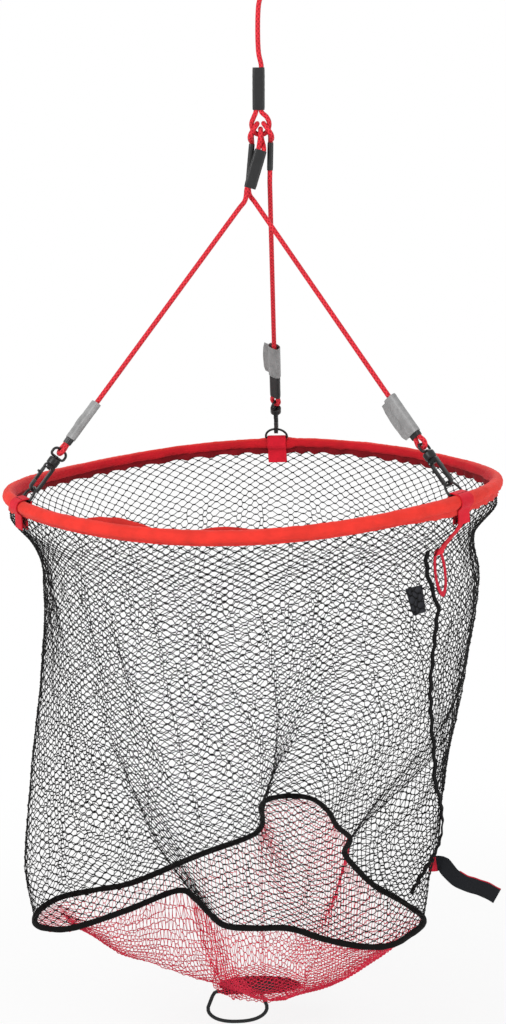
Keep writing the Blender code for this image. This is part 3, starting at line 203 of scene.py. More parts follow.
# Sharp creases in the wall: angle at top and bottom, share at both ends, width in degrees, strength
CREASES = (
    (131.0, 113.0, 0.22, 0.94, 5.5, 0.88),
    (98.0, 79.0, 0.30, 0.94, 5.0, 0.86),
    (338.0, 356.0, 0.30, 0.95, 8.0, 0.72),
    (118.0, 92.0, 0.35, 0.80, 12.0, 0.58),
    (233.0, 244.0, 0.15, 0.60, 10.0, 0.60),
    (292.0, 284.0, 0.10, 0.55, 9.0, 0.55),
)
# Creases in the floor, from the seam's folds in towards the patch, in mm: ends, width, strength
FLOOR_CREASES = (
    ((-74, -121), (-30, -30), 22, 0.85), ((-26, 176), (-12, 30), 16, 0.85),
    ((98, 84), (45, 0), 18, 0.8), ((-96, 62), (-50, 10), 18, 0.55),
    ((40, 230), (30, 120), 22, 0.5), ((60, -185), (20, -60), 22, 0.4),
)

# ---------------------------------------------------------------- places and the camera


def from_photo(across, deep, up, origin=Vector()):
    """A point given in the photograph's across, deep and up directions, in mm."""
    return origin + ACROSS * (across * MM) + DEEP * (deep * MM) + UP * (up * MM)


hub_point = ACROSS * HUB.x + UP * HUB.z
haul_axis_foot = ACROSS * (HUB.x - 1.6 * MM)


def on_haul(height, side=0.0):
    """A point beside the haul line's leaning axis, from the hoop's centre."""
    run = (height - HAUL_SHRINK_BOTTOM) / HAUL_LEAN.z
    return haul_axis_foot + UP * HAUL_SHRINK_BOTTOM + HAUL_LEAN * run + ACROSS * side


HOOP = -(on_haul(HAND_LOOP_TOP) - UP * (CORD_DIAMETER / 2))
CENTRE = np.array(HOOP)
EYE = Vector((0.30892721, -2.58158168, 0.4571)) + HOOP
LOOK = Vector((-0.11706177, 0.97528184, -0.18740831)).normalized()
ROLL = math.radians(-1.9779)
LENS_PIXELS = 2131.8
PHOTO_HEIGHT = 1024


def link_object(name, data):
    """A new object in the scene."""
    piece = bpy.data.objects.new(name, data)
    bpy.context.scene.collection.objects.link(piece)
    return piece


def build_camera():
    """The photograph's camera, worked out from the hoop's outline."""
    lens = bpy.data.cameras.new("camera")
    holder = link_object("camera", lens)
    right = LOOK.cross(UP).normalized()
    above = right.cross(LOOK)
    right, above = (right * math.cos(ROLL) + above * math.sin(ROLL),
                    above * math.cos(ROLL) - right * math.sin(ROLL))
    turned = Matrix((right, above, -LOOK)).transposed().to_4x4()
    turned.translation = EYE
    holder.matrix_world = turned
    lens.sensor_fit = "VERTICAL"
    lens.sensor_height = 36.0
    lens.lens = 36.0 * LENS_PIXELS / PHOTO_HEIGHT
    lens.clip_end = 50.0
    bpy.context.scene.camera = holder


build_camera()

# ---------------------------------------------------------------- mesh helpers


def link_mesh(name, verts, loops, starts, material, uvs=None):
    """A smooth mesh from flat arrays of corners, its place given in the frame."""
    data = bpy.data.meshes.new(name)
    data.vertices.add(len(verts))
    data.vertices.foreach_set("co", np.asarray(verts, np.float32).ravel())
    data.loops.add(len(loops))
    data.loops.foreach_set("vertex_index", np.asarray(loops, np.int32))
    data.polygons.add(len(starts))
    data.polygons.foreach_set("loop_start", np.asarray(starts, np.int32))
    data.polygons.foreach_set("use_smooth", np.full(len(starts), True))
    data.update(calc_edges=True)
    if uvs is not None:
        layer = data.uv_layers.new(name="UVMap")
        layer.data.foreach_set("uv", np.asarray(uvs, np.float32).ravel())
    data.validate()
    data.materials.append(material)
    return link_object(name, data)


def as_array(points):
    """Points as an array of numbers."""
    return np.asarray([tuple(p) for p in points], float)


def travelled(points):
    """How far along a path each of its points lies."""
    return np.concatenate([[0.0], np.cumsum(np.linalg.norm(np.diff(points, axis=0), axis=1))])


def loft(name, grid, material, closed_u=False, sharp=None):
    """A surface over rings of points, with a UV map in metres; its open ends are filled."""
    grid = np.asarray([[tuple(p) for p in row] for row in grid], float) + CENTRE
    rows, columns = grid.shape[:2]
    i, j = np.meshgrid(np.arange(rows if closed_u else rows - 1), np.arange(columns), indexing="ij")
    i2, j2 = (i + 1) % rows, (j + 1) % columns
    quads = np.stack([i * columns + j, i * columns + j2, i2 * columns + j2, i2 * columns + j], -1)
    runs = []
    for axis in (0, 1):
        step = np.linalg.norm(np.roll(grid, -1, axis) - grid, axis=2).mean(1 - axis)
        runs.append(np.concatenate([[0.0], np.cumsum(step)]))
    u0, u1, v0, v1 = runs[0][i], runs[0][i + 1], runs[1][j], runs[1][j + 1]
    corners = [np.stack(corner, -1) for corner in ((u0, v0), (u0, v1), (u1, v1), (u1, v0))]
    uvs = np.stack(corners, -2).reshape(-1, 2)
    loops = quads.reshape(-1)
    starts = np.arange(0, len(loops), 4)
    if not closed_u:
        ring = np.arange(columns)
        starts = np.concatenate([starts, [len(loops), len(loops) + columns]])
        loops = np.concatenate([loops, ring[::-1], ring + (rows - 1) * columns])
        uvs = np.concatenate([uvs, np.zeros((2 * columns, 2))])
    piece = link_mesh(name, grid.reshape(-1, 3), loops, starts, material, uvs)
    shape = bmesh.new()
    shape.from_mesh(piece.data)
    bmesh.ops.recalc_face_normals(shape, faces=shape.faces)
    shape.to_mesh(piece.data)
    shape.free()
    if sharp:
        piece.data.set_sharp_from_angle(angle=math.radians(sharp))
    return piece


def frames_along(points, closed, first):
    """Two directions across a path at each point, carried along it without twist."""
    if closed:
        ahead = np.roll(points, -1, 0) - np.roll(points, 1, 0)
    else:
        ahead = np.gradient(points, axis=0)
    ahead /= np.linalg.norm(ahead, axis=1)[:, None]
    side = np.array(first if first is not None else (0.0, 0.0, 1.0))
    if abs(side @ ahead[0]) > 0.95 and first is None:
        side = np.array((1.0, 0.0, 0.0))
    sides = []
    for a in ahead:
        side = side - a * (side @ a)
        side /= np.linalg.norm(side)
        sides.append(side)
    sides = np.array(sides)
    overs = np.cross(ahead, sides)
    if closed:
        turn = math.atan2(sides[-1] @ overs[0], sides[-1] @ sides[0])
        back = -turn * np.arange(len(points)) / len(points)
        c, s = np.cos(back)[:, None], np.sin(back)[:, None]
        sides, overs = sides * c + overs * s, overs * c - sides * s
    return ahead, sides, overs


def ring_offsets(one, two, sides, start=0.0, flat=1.0):
    """Rings of offsets in the plane of two directions, one ring for each pair of them."""
    turns = np.linspace(0, 2 * math.pi, sides, endpoint=False) + start
    return (one[:, None, :] * np.cos(turns)[None, :, None]
            + two[:, None, :] * (np.sin(turns) * flat)[..., None])


def tube(name, points, radius, material, sides=14, closed=False, first=None, flat=1.0):
    """A round cord or wire along points; flat squeezes it across its second direction."""
    points = as_array(points)
    ahead, one, two = frames_along(points, closed, first)
    radius = np.broadcast_to(np.asarray(radius, float), (len(points),))[:, None, None]
    flat = np.broadcast_to(np.asarray(flat, float), (len(points),))[:, None]
    grid = points[:, None, :] + ring_offsets(one, two, sides, flat=flat) * radius
    if not closed:
        # rounded ends
        low = points[0] + (grid[0] - points[0]) * 0.6 - ahead[0] * radius[0] * 0.3
        high = points[-1] + (grid[-1] - points[-1]) * 0.6 + ahead[-1] * radius[-1] * 0.3
        grid = np.concatenate([low[None], grid, high[None]])
    return loft(name, grid, material, closed_u=closed)


def strip(name, spine, widths, thickness, material):
    """A flat band along a spine with rounded edges; widths are half widths as vectors."""
    spine, widths = as_array(spine), as_array(widths)
    face = np.cross(np.gradient(spine, axis=0), widths)
    face /= np.linalg.norm(face, axis=1)[:, None]
    half = thickness / 2
    inset = 1 - 0.35 * half / np.linalg.norm(widths, axis=1)
    rows = []
    for point, wide, normal, edge in zip(spine, widths, face, inset):
        section = [(x, -1) for x in np.linspace(-edge, edge, 7)] + [(1, -0.45), (1, 0.45)]
        section += [(x, 1) for x in np.linspace(edge, -edge, 7)] + [(-1, 0.45), (-1, -0.45)]
        rows.append([point + wide * x + normal * half * y for x, y in section])
    return loft(name, rows, material, sharp=55)


def spread(points, count, endpoint):
    """Evenly spaced points along a path."""
    run = travelled(points)
    wanted = np.linspace(0.0, run[-1], count, endpoint=endpoint)
    return np.stack([np.interp(wanted, run, points[:, k]) for k in range(3)], axis=1)


def closed_curve(points, steps):
    """Evenly spaced points along a smooth closed curve through the given points."""
    knots = np.array(points, dtype=float)
    before, after, later = (np.roll(knots, shift, axis=0) for shift in (1, -1, -2))
    fine = []
    for t in np.linspace(0.0, 1.0, 24, endpoint=False):
        fine.append(0.5 * (2 * knots + (after - before) * t
                           + (2 * before - 5 * knots + 4 * after - later) * t ** 2
                           + (3 * knots - before - 3 * after + later) * t ** 3))
    fine = np.stack(fine, axis=1).reshape(-1, 3)
    return spread(np.vstack([fine, fine[:1]]), steps, False)


def open_curve(points, spacing):
    """Points at about the given spacing along a smooth open curve through the given points."""
    knots = as_array(points)
    gaps = np.linalg.norm(np.diff(knots, axis=0), axis=1) ** 0.5
    times = np.concatenate([[0.0], np.cumsum(gaps)])
    padded = np.vstack([2 * knots[0] - knots[1], knots, 2 * knots[-1] - knots[-2]])
    clock = np.concatenate([[-gaps[0]], times, [times[-1] + gaps[-1]]])

    def between(low, high, one, two):
        return (high - t) / (high - low) * one + (t - low) / (high - low) * two

    fine = []
    for i in range(len(knots) - 1):
        t0, t1, t2, t3 = clock[i:i + 4]
        p0, p1, p2, p3 = padded[i:i + 4]
        for t in np.linspace(t1, t2, 14, endpoint=False):
            middle = between(t1, t2, p1, p2)
            early = between(t0, t2, between(t0, t1, p0, p1), middle)
            late = between(t1, t3, middle, between(t2, t3, p2, p3))
            fine.append(between(t1, t2, early, late))
    fine = np.array(fine + [knots[-1]])
    return spread(fine, max(2, round(travelled(fine)[-1] / spacing)) + 1, True)


def arc(centre, radius, start, stop, steps):
    """Points on an arc, from start to stop degrees."""
    turns = [math.radians(start + (stop - start) * k / steps) for k in range(steps + 1)]
    return [(centre[0] + radius * math.cos(t), centre[1] + radius * math.sin(t)) for t in turns]


def shares_of(steps):
    """Even shares from 0 to 1."""
    return [k / steps for k in range(steps + 1)]


def circle(count, start=0.0):
    """Cosine and sine at even steps round a circle."""
    turns = [2 * math.pi * k / count - start for k in range(count)]
    return [(math.cos(t), math.sin(t)) for t in turns]


def compass(angle, height=0.0):
    """The direction of an angle in degrees, at a height."""
    return math.cos(math.radians(angle)), math.sin(math.radians(angle)), height


def turn_from(angle, middle=0.0):
    """How far an angle is from another, between -180 and 180 degrees."""
    return (angle - middle + 180) % 360 - 180


def axes(origin, across, along):
    """A placing with +Z along one direction and +X near another."""
    z = Vector(along).normalized()
    x = (Vector(across) - z * Vector(across).dot(z)).normalized()
    placed = Matrix((x, z.cross(x), z)).transposed().to_4x4()
    placed.translation = origin
    return placed


def place_all(matrix, points):
    """Points moved by a placing."""
    return [matrix @ Vector(p) for p in points]


def ripple(where, scale, seed=0.0):
    """Smooth noise between about -1 and 1."""
    return noise.noise(Vector(where) * scale + Vector((seed, seed * 1.7, -seed)))


def finish_piece(piece, body, slot, *nodes):
    """Bind a piece to its body and hide the CAD nodes that it stands for; the slot is not used."""
    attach(piece, body)
    if nodes:
        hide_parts(*nodes)
    return piece

# ---------------------------------------------------------------- materials


class Nodes:
    """A node tree, with short ways to add and join its nodes."""

    def __init__(self, owner):
        owner.use_nodes = True
        self.owner = owner
        self.tree = owner.node_tree

    def feed(self, target, value):
        """Give a socket a number, a colour or another node's output."""
        if isinstance(value, tuple):
            target.default_value = (*value, 1.0)
        elif isinstance(value, (int, float)):
            target.default_value = value
        elif value is not None:
            self.tree.links.new(value, target)

    def add(self, kind, inputs=(), **values):
        """A node with its settings, its inputs fed."""
        node = self.tree.nodes.new(kind)
        for key, value in values.items():
            setattr(node, key, value)
        for key, value in dict(inputs).items():
            self.feed(node.inputs[key], value)
        return node

    def coords(self, kind="UV"):
        return self.add("ShaderNodeTexCoord").outputs[kind]

    def math(self, operation, one, two=None):
        return self.add("ShaderNodeMath", {0: one, 1: two}, operation=operation).outputs[0]

    def plus(self, one, two):
        return self.math("ADD", one, two)

    def less(self, one, two):
        return self.math("SUBTRACT", one, two)

    def times(self, one, two):
        return self.math("MULTIPLY", one, two)

    def wave(self, value, period):
        return self.math("SINE", self.times(value, 2 * math.pi / period))

    def split(self, vector):
        return self.add("ShaderNodeSeparateXYZ", {0: vector}).outputs

    def noise(self, vector, scale, detail=3.0):
        inputs = {"Scale": scale, "Detail": detail, "Roughness": 0.55, "Vector": vector}
        return self.add("ShaderNodeTexNoise", inputs).outputs["Fac"]

    def ramp(self, value, *stops):
        """Colours mixed by a value: two pairs of place and colour."""
        node = self.add("ShaderNodeValToRGB", {"Fac": value})
        for part, (place, colour) in zip(node.color_ramp.elements, stops):
            part.position, part.color = place, (*colour, 1.0)
        return node.outputs["Color"]

    def mask(self, value, low, high, start=0.0, stop=1.0):
        """A grey from start to stop as a value goes from low to high."""
        return self.ramp(value, (low, (start,) * 3), (high, (stop,) * 3))

    def dye(self, cloud, colour, low, high, start=0.3):
        """A colour made darker and lighter in clouds."""
        return self.ramp(cloud, (start, shade(colour, low)), (0.7, shade(colour, high)))

    def mix(self, value, one, two, blend="MIX"):
        inputs = {0: value, 6: one, 7: two}
        return self.add("ShaderNodeMix", inputs, data_type="RGBA", blend_type=blend).outputs[2]

    def bump(self, height, strength, distance, under=None):
        inputs = {"Strength": strength, "Distance": distance, "Height": height, "Normal": under}
        return self.add("ShaderNodeBump", inputs).outputs["Normal"]

    def done(self, colour, normal, rough=None):
        """The finished material, its shader fed."""
        shader = self.tree.nodes["Principled BSDF"]
        for key, value in (("Base Color", colour), ("Normal", normal), ("Roughness", rough)):
            self.feed(shader.inputs[key], value)
        return self.owner


def surface(name, roughness, metallic=0.0, sheen=0.0, specular=0.5):
    """A material's nodes, with its shader's own values."""
    n = Nodes(bpy.data.materials.new(name))
    inputs = n.tree.nodes["Principled BSDF"].inputs
    inputs["Roughness"].default_value = roughness
    inputs["Metallic"].default_value = metallic
    inputs["Sheen Weight"].default_value = sheen
    inputs["Specular IOR Level"].default_value = specular
    return n


def rgb(code):
    """A linear colour from a hex code as it is seen."""
    parts = [int(code[i:i + 2], 16) / 255 for i in (0, 2, 4)]
    return tuple(p / 12.92 if p <= 0.04045 else ((p + 0.055) / 1.055) ** 2.4 for p in parts)


def shade(colour, factor):
    """A colour made lighter or darker."""
    return tuple(min(1.0, c * factor) for c in colour)


def weave(name, colour, pitch, rough=0.8, depth=0.25, vary=0.2, dark=0.55, second=None):
    """Woven cloth: threads over and under in both directions, with soft uneven dye and painted
    shade between the threads; a second colour paints shade from a distance round the cloth onwards.
    """
    n = surface(name, rough, sheen=0.04, specular=0.18)
    u, v, _ = n.split(n.coords())
    height = n.plus(n.times(n.times(n.wave(u, pitch), n.wave(v, pitch)), 0.5), 0.5)
    place = n.coords("Object")
    cloud = n.noise(place, 38.0)
    soft = n.dye(cloud, colour, 1 - vary, 1 + vary * 0.6)
    # a second colour is painted shade, laid on past a distance round the cloth; on the sleeve that
    # is its inner side
    if second:
        painted_shade_colour, low, high = second
        over = n.plus(v, n.times(n.less(cloud, 0.5), 6 * MM))
        over = n.math("DIVIDE", n.less(over, low), high - low)
        soft = n.mix(n.mask(over, 0.0, 1.0), soft, n.dye(cloud, painted_shade_colour, 1 - vary, 1 + vary * 0.6))
    # painted shade: the cloth is darkened where the threads dip under each other
    shadow = n.mix(1.0, soft, (dark,) * 3, "MULTIPLY")
    col = n.mix(n.times(n.less(1.0, height), 0.45), soft, shadow)
    threads = n.plus(height, n.times(n.noise(place, 900.0, 2.0), 0.6))
    bumped = n.bump(threads, depth, pitch * 0.35)
    return n.done(col, n.bump(n.noise(place, 60.0, 2.0), 0.18, 1.2 * MM, bumped))


def braid(name, colour, groove, diameter):
    """Braided cord: eight bundles of yarn crossing left and right along the cord, with painted
    shade in the grooves between them.
    """
    n = surface(name, 0.62, sheen=0.02, specular=0.22)
    u, v, _ = n.split(n.coords())
    along = n.times(u, 2 * math.pi / (diameter * 0.95))
    around = n.times(v, 8 / diameter)
    left = n.math("SINE", n.plus(along, around))
    right = n.math("SINE", n.less(along, around))
    level = n.times(n.plus(n.math("MAXIMUM", left, right), 1.0), 0.5)
    place = n.coords("Object")
    body = n.dye(n.noise(place, 120.0), colour, 0.85, 1.12)
    # painted shade: the grooves between the bundles take the darker groove colour
    col = n.mix(n.mask(level, 0.45, 0.85), groove, body)
    fibres = n.times(n.noise(place, 1600.0, 2.0), 0.3)
    return n.done(col, n.bump(n.plus(level, fibres), 0.55, diameter * 0.09))


def yarn(name, colour, vary=0.35):
    """Netting yarn, with twist and uneven dye that only a near view shows."""
    n = surface(name, 0.7, specular=0.12)
    place = n.coords("Object")
    fine = n.noise(place, 2200.0, 2.0)
    col = n.dye(n.noise(place, 45.0), colour, 1 - vary, 1 + vary)
    col = n.mix(n.times(fine, 0.4), col, shade(colour, 0.5))
    return n.done(col, n.bump(fine, 0.5, 0.25 * MM))


def moulded(name, colour, rough, metallic=0.0, worn=None, grain=700.0):
    """Painted metal or moulded plastic with a fine grain and a little wear."""
    n = surface(name, rough, metallic=metallic, specular=0.35)
    place = n.coords("Object")
    fine = n.noise(place, grain)
    col = n.dye(n.noise(place, 90.0), colour, 0.8, 1.2, 0.35)
    if worn:
        col = n.mix(n.mask(n.noise(place, 420.0, 4.0), 0.66, 0.74, stop=0.6), col, worn)
    rougher = n.plus(n.times(fine, 0.22), rough - 0.1)
    return n.done(col, n.bump(fine, 0.12, 0.3 * MM), rougher)


def film(name, colour):
    """Thin grey tape wound on, with wrinkles, painted shade in their hollows and a soft sheen."""
    n = surface(name, 0.38, specular=0.45)
    place = n.coords("Object")
    wrinkle = n.noise(place, 150.0, 4.0)
    col = n.dye(n.noise(place, 60.0), colour, 0.82, 1.15)
    # painted shade in the wrinkles' hollows
    col = n.mix(n.mask(wrinkle, 0.35, 0.55, 0.35, 0.0), col, shade(colour, 0.5))
    return n.done(col, n.bump(wrinkle, 0.5, 0.8 * MM), n.plus(n.times(wrinkle, 0.3), 0.25))


def bound_tape(name, colour, pitch=1.6 * MM):
    """Ribbed binding: fine ribs across its run, with painted shade between the ribs."""
    n = surface(name, 0.85, specular=0.12)
    u = n.split(n.coords())[0]
    level = n.times(n.plus(n.wave(u, pitch), 1.0), 0.5)
    place = n.coords("Object")
    col = n.dye(n.noise(place, 55.0), colour, 0.7, 1.5)
    # painted shade in the hollows between the ribs
    col = n.mix(n.times(n.less(1.0, level), 0.6), col, shade(colour, 0.35))
    ribs = n.plus(level, n.times(n.noise(place, 1200.0, 2.0), 0.5))
    return n.done(col, n.bump(ribs, 0.45, 0.35 * MM))


# the sleeve's red cloth; its second, darker red is painted shade on the sleeve's inner side
FABRIC = weave("sleeve_fabric", rgb("F0392E"), 0.9 * MM, 0.78, 0.35, 0.16, 0.6,
               second=(rgb("CC1624"), 24 * MM, 31 * MM))
FLAP = weave("flap_fabric", rgb("E23A34"), 0.9 * MM, 0.78, 0.35, 0.18)
# a darker copy of the hem's red cloth: painted shade for the hem's inner side
SHADED_HEM = weave("shaded_hem_fabric", rgb("7E0B16"), 0.9 * MM, 0.85, vary=0.35)
TAB = weave("tab_webbing", rgb("E0182F"), 1.4 * MM, 0.75, 0.4, dark=0.5)
# the second, darker red is painted shade in the braid's grooves
CORD = braid("cord_braid", rgb("E02D3A"), rgb("A81823"), CORD_DIAMETER)
BLACK_YARN = yarn("black_yarn", rgb("101010"))
RED_YARN = yarn("red_yarn", rgb("E83450"), vary=0.2)
BINDING = bound_tape("black_binding", rgb("0E0C0C"))
TAPE = bound_tape("seam_tape", rgb("111112"), 1.1 * MM)
STRAP = weave("strap_webbing", rgb("14161B"), 1.3 * MM, 0.8, 0.45, dark=0.4)
STRAP_EDGE = weave("strap_edge", rgb("CB2238"), 1.1 * MM)
HANDLE = weave("handle_webbing", rgb("222425"), 1.1 * MM, 0.5, 0.4, dark=0.45)
PATCH = weave("patch_cloth", rgb("2A1216"), 1.1 * MM, 0.85, 0.3)
LABEL = weave("label_cloth", rgb("303136"), 0.8 * MM, 0.7, 0.2)
METAL = moulded("black_fitting", rgb("101011"), 0.34, worn=rgb("484848"))
STEEL = moulded("spring_wire", rgb("B4B4B8"), 0.32, 1.0)
SHRINK = moulded("shrink_sleeve", rgb("1E1E1F"), 0.36, grain=260.0)
GREY = film("wrap_film", rgb("8E8E8E"))

# ---------------------------------------------------------------- the netting's surfaces


def hoop_height(angle):
    """Height of the sleeve's centre line; the hoop sags between its three supports."""
    return -HOOP_SAG * (1 - np.cos(np.radians(3 * (np.asarray(angle, float) - 90)))) / 2


def hoop_point(angle, outward, upward):
    """A point beside the sleeve's centre line."""
    x, y, _ = compass(angle)
    reach = HOOP_RADIUS + outward
    return Vector((reach * x, reach * y, float(hoop_height(angle)) + upward))


def hoop_ring(angle, front, back):
    """A section across the hoop from its two sides, as outward and upward pairs."""
    return [hoop_point(angle, r, z) for r, z in front + back[::-1]]


SEAM_FINE = 1440
seam_path = closed_curve(np.array(SEAM_POINTS) * MM, SEAM_FINE)


def seam_at(share):
    """Points on the bottom seam by their shares of its run."""
    place = (np.asarray(share, float) % 1.0) * SEAM_FINE
    low = place.astype(int) % SEAM_FINE
    part = (place - np.floor(place))[..., None]
    return seam_path[low] * (1 - part) + seam_path[(low + 1) % SEAM_FINE] * part


def smooth_rows(values, share):
    """A smooth curve through the values at the wall's rows."""
    xs = np.array(NET_ROWS)
    ys = np.array(values)
    slope = np.gradient(ys, xs)
    k = np.clip(np.searchsorted(xs, share, side="right") - 1, 0, len(xs) - 2)
    width = xs[k + 1] - xs[k]
    t = (share - xs[k]) / width
    h00 = 2 * t ** 3 - 3 * t ** 2 + 1
    h10 = t ** 3 - 2 * t ** 2 + t
    h01 = -2 * t ** 3 + 3 * t ** 2
    h11 = t ** 3 - t ** 2
    return h00 * ys[k] + h10 * width * slope[k] + h01 * ys[k + 1] + h11 * width * slope[k + 1]


def wall_at(angle, share):
    """Points on the net's wall by their angle in degrees and share of its height."""
    angle = np.asarray(angle, float)
    share = np.asarray(share, float)
    turn = np.radians(angle)
    top_z = hoop_height(angle) - SLEEVE_RADIUS - HEM_DROP - NET_STRAIGHT
    bottom = seam_at(((angle - SEAM_START_ANGLE) % 360) / 360)
    bottom_z = bottom[..., 2] + SEAM_DIAMETER / 2 + 0.8 * MM
    left = (1 - np.cos(turn - VIEW_TURN)) / 2
    inside = np.clip(share, 0.0, 1.0)
    belly = smooth_rows(LEFT_BELLY, inside) * left + smooth_rows(RIGHT_BELLY, inside) * (1 - left)
    part = inside ** FOLD_POWER
    x = (HOOP_RADIUS * np.cos(turn) * (1 - part) + bottom[..., 0] * part) * belly
    y = (HOOP_RADIUS * np.sin(turn) * (1 - part) + bottom[..., 1] * part) * belly
    return np.stack([x, y, top_z + (bottom_z - top_z) * share], -1)


def round_wall(angle, share, step=1.0):
    """The direction round the wall, from a step of degrees to both sides."""
    return wall_at(angle + step, share) - wall_at(angle - step, share)


def wall_normal(angle, share):
    """The wall's outward direction."""
    rise = wall_at(angle, np.clip(share - 0.02, 0, 1)) - wall_at(angle, np.clip(share + 0.02, 0, 1))
    normal = np.cross(round_wall(angle, share), rise)
    return normal / np.linalg.norm(normal, axis=-1)[..., None]


def across_all(along, radius, sides, start=0.0):
    """Directions made one long, and a ring of offsets across each."""
    along = along / np.linalg.norm(along, axis=1)[:, None]
    steep = np.abs(along[:, 2:3]) > 0.9
    one = np.cross(along, np.where(steep, np.array([[1.0, 0, 0]]), np.array([[0, 0, 1.0]])))
    one /= np.linalg.norm(one, axis=1)[:, None]
    return along, ring_offsets(one, np.cross(along, one), sides, start) * radius


def solids_mesh(verts, faces):
    """Corners, loops and face starts of many solids with the same faces."""
    order = np.array([corner for face in faces for corner in face])
    offsets = np.cumsum([0] + [len(face) for face in faces])[:-1]
    number = np.arange(len(verts))[:, None]
    loops = number * verts.shape[1] + order[None, :]
    return verts.reshape(-1, 3), loops.reshape(-1), (number * len(order) + offsets).reshape(-1)


def prisms(starts, ends, radius, sides=3):
    """Thin closed rods between pairs of points."""
    _, ring = across_all(ends - starts, radius, sides, 0.4)
    verts = np.concatenate([starts[:, None, :] + ring, ends[:, None, :] + ring], 1)
    faces = []
    for k in range(sides):
        after = (k + 1) % sides
        faces.append((after, k, sides + k, sides + after))
    faces += [tuple(range(sides)), tuple(range(2 * sides - 1, sides - 1, -1))]
    return solids_mesh(verts, faces)


def knots_mesh(places, along, length, radius, sides=4):
    """Small barrel-shaped knots lying along a direction."""
    along, ring = across_all(along, radius, sides)
    step = along[:, None, :] * length
    spot = places[:, None, :]
    verts = np.concatenate([spot - step * 0.5, spot - step * 0.22 + ring,
                            spot + step * 0.22 + ring, spot + step * 0.5], 1)
    low = [(1 + k, 1 + (k + 1) % sides) for k in range(sides)]
    faces = [(0, b, a) for a, b in low]
    faces += [(a, b, sides + b, sides + a) for a, b in low]
    faces += [(sides + a, sides + b, 1 + 2 * sides) for a, b in low]
    return solids_mesh(verts, faces)


def netting(name, strands, strand_radius, knots, along, knot_length, knot_radius, material):
    """One piece of netting from its strands' ends and its knots."""
    verts, loops, starts = prisms(strands[0], strands[1], strand_radius)
    more, more_loops, more_starts = knots_mesh(knots, along, knot_length, knot_radius)
    starts = np.concatenate([starts, more_starts + len(loops)])
    loops = np.concatenate([loops, more_loops + len(verts)])
    return link_mesh(name, np.concatenate([verts, more]) + CENTRE, loops, starts, material)


rng = np.random.default_rng(7)


def tape_angle(share):
    """The side seam's angle at shares of the net's height."""
    return SIDE_ANGLE + np.interp(share, TAPE_SHARES, TAPE_TURNS)


def gather(angle, share):
    """Angles drawn towards the wall's creases, and how deep each point lies in one."""
    depth = np.zeros(angle.shape)
    for top, bottom, start, stop, width, strength in CREASES:
        part = np.clip((share - start) / (stop - start), 0, 1)
        away = turn_from(angle, top + (bottom - top) * part)
        fade = np.clip((share - start) / 0.12, 0, 1) * np.clip((stop + 0.03 - share) / 0.06, 0, 1)
        near = np.clip(1 - np.abs(away) / width, 0, 1)
        angle = angle - away * strength * fade * near ** 1.5
        depth = np.maximum(depth, fade * near ** 4 * strength)
    return angle, depth


def unit(vectors):
    """Vectors made one long."""
    return vectors / np.maximum(np.linalg.norm(vectors, axis=-1)[..., None], 1e-9)


def wall_unrest(angle, shares):
    """How the wall's points stand out in pleats and sway to the sides, as smooth noise."""
    pleat, sway = np.zeros(angle.shape), np.zeros(angle.shape)
    for (i, j), degrees in np.ndenumerate(angle):
        x, y, _ = compass(degrees)
        z = shares[i]
        pleat[i, j] = noise.noise(Vector((x * 2.6, y * 2.6, z * 1.3)))
        pleat[i, j] += 0.55 * noise.noise(Vector((x * 6.8, y * 6.8, z * 2.4 + 5)))
        sway[i, j] = noise.noise(Vector((x * 5.0, y * 5.0, z * 5.0 + 9)))
        sway[i, j] += 0.6 * noise.noise(Vector((x * 14.0, y * 14.0, z * 12.0 + 3)))
    return pleat, sway


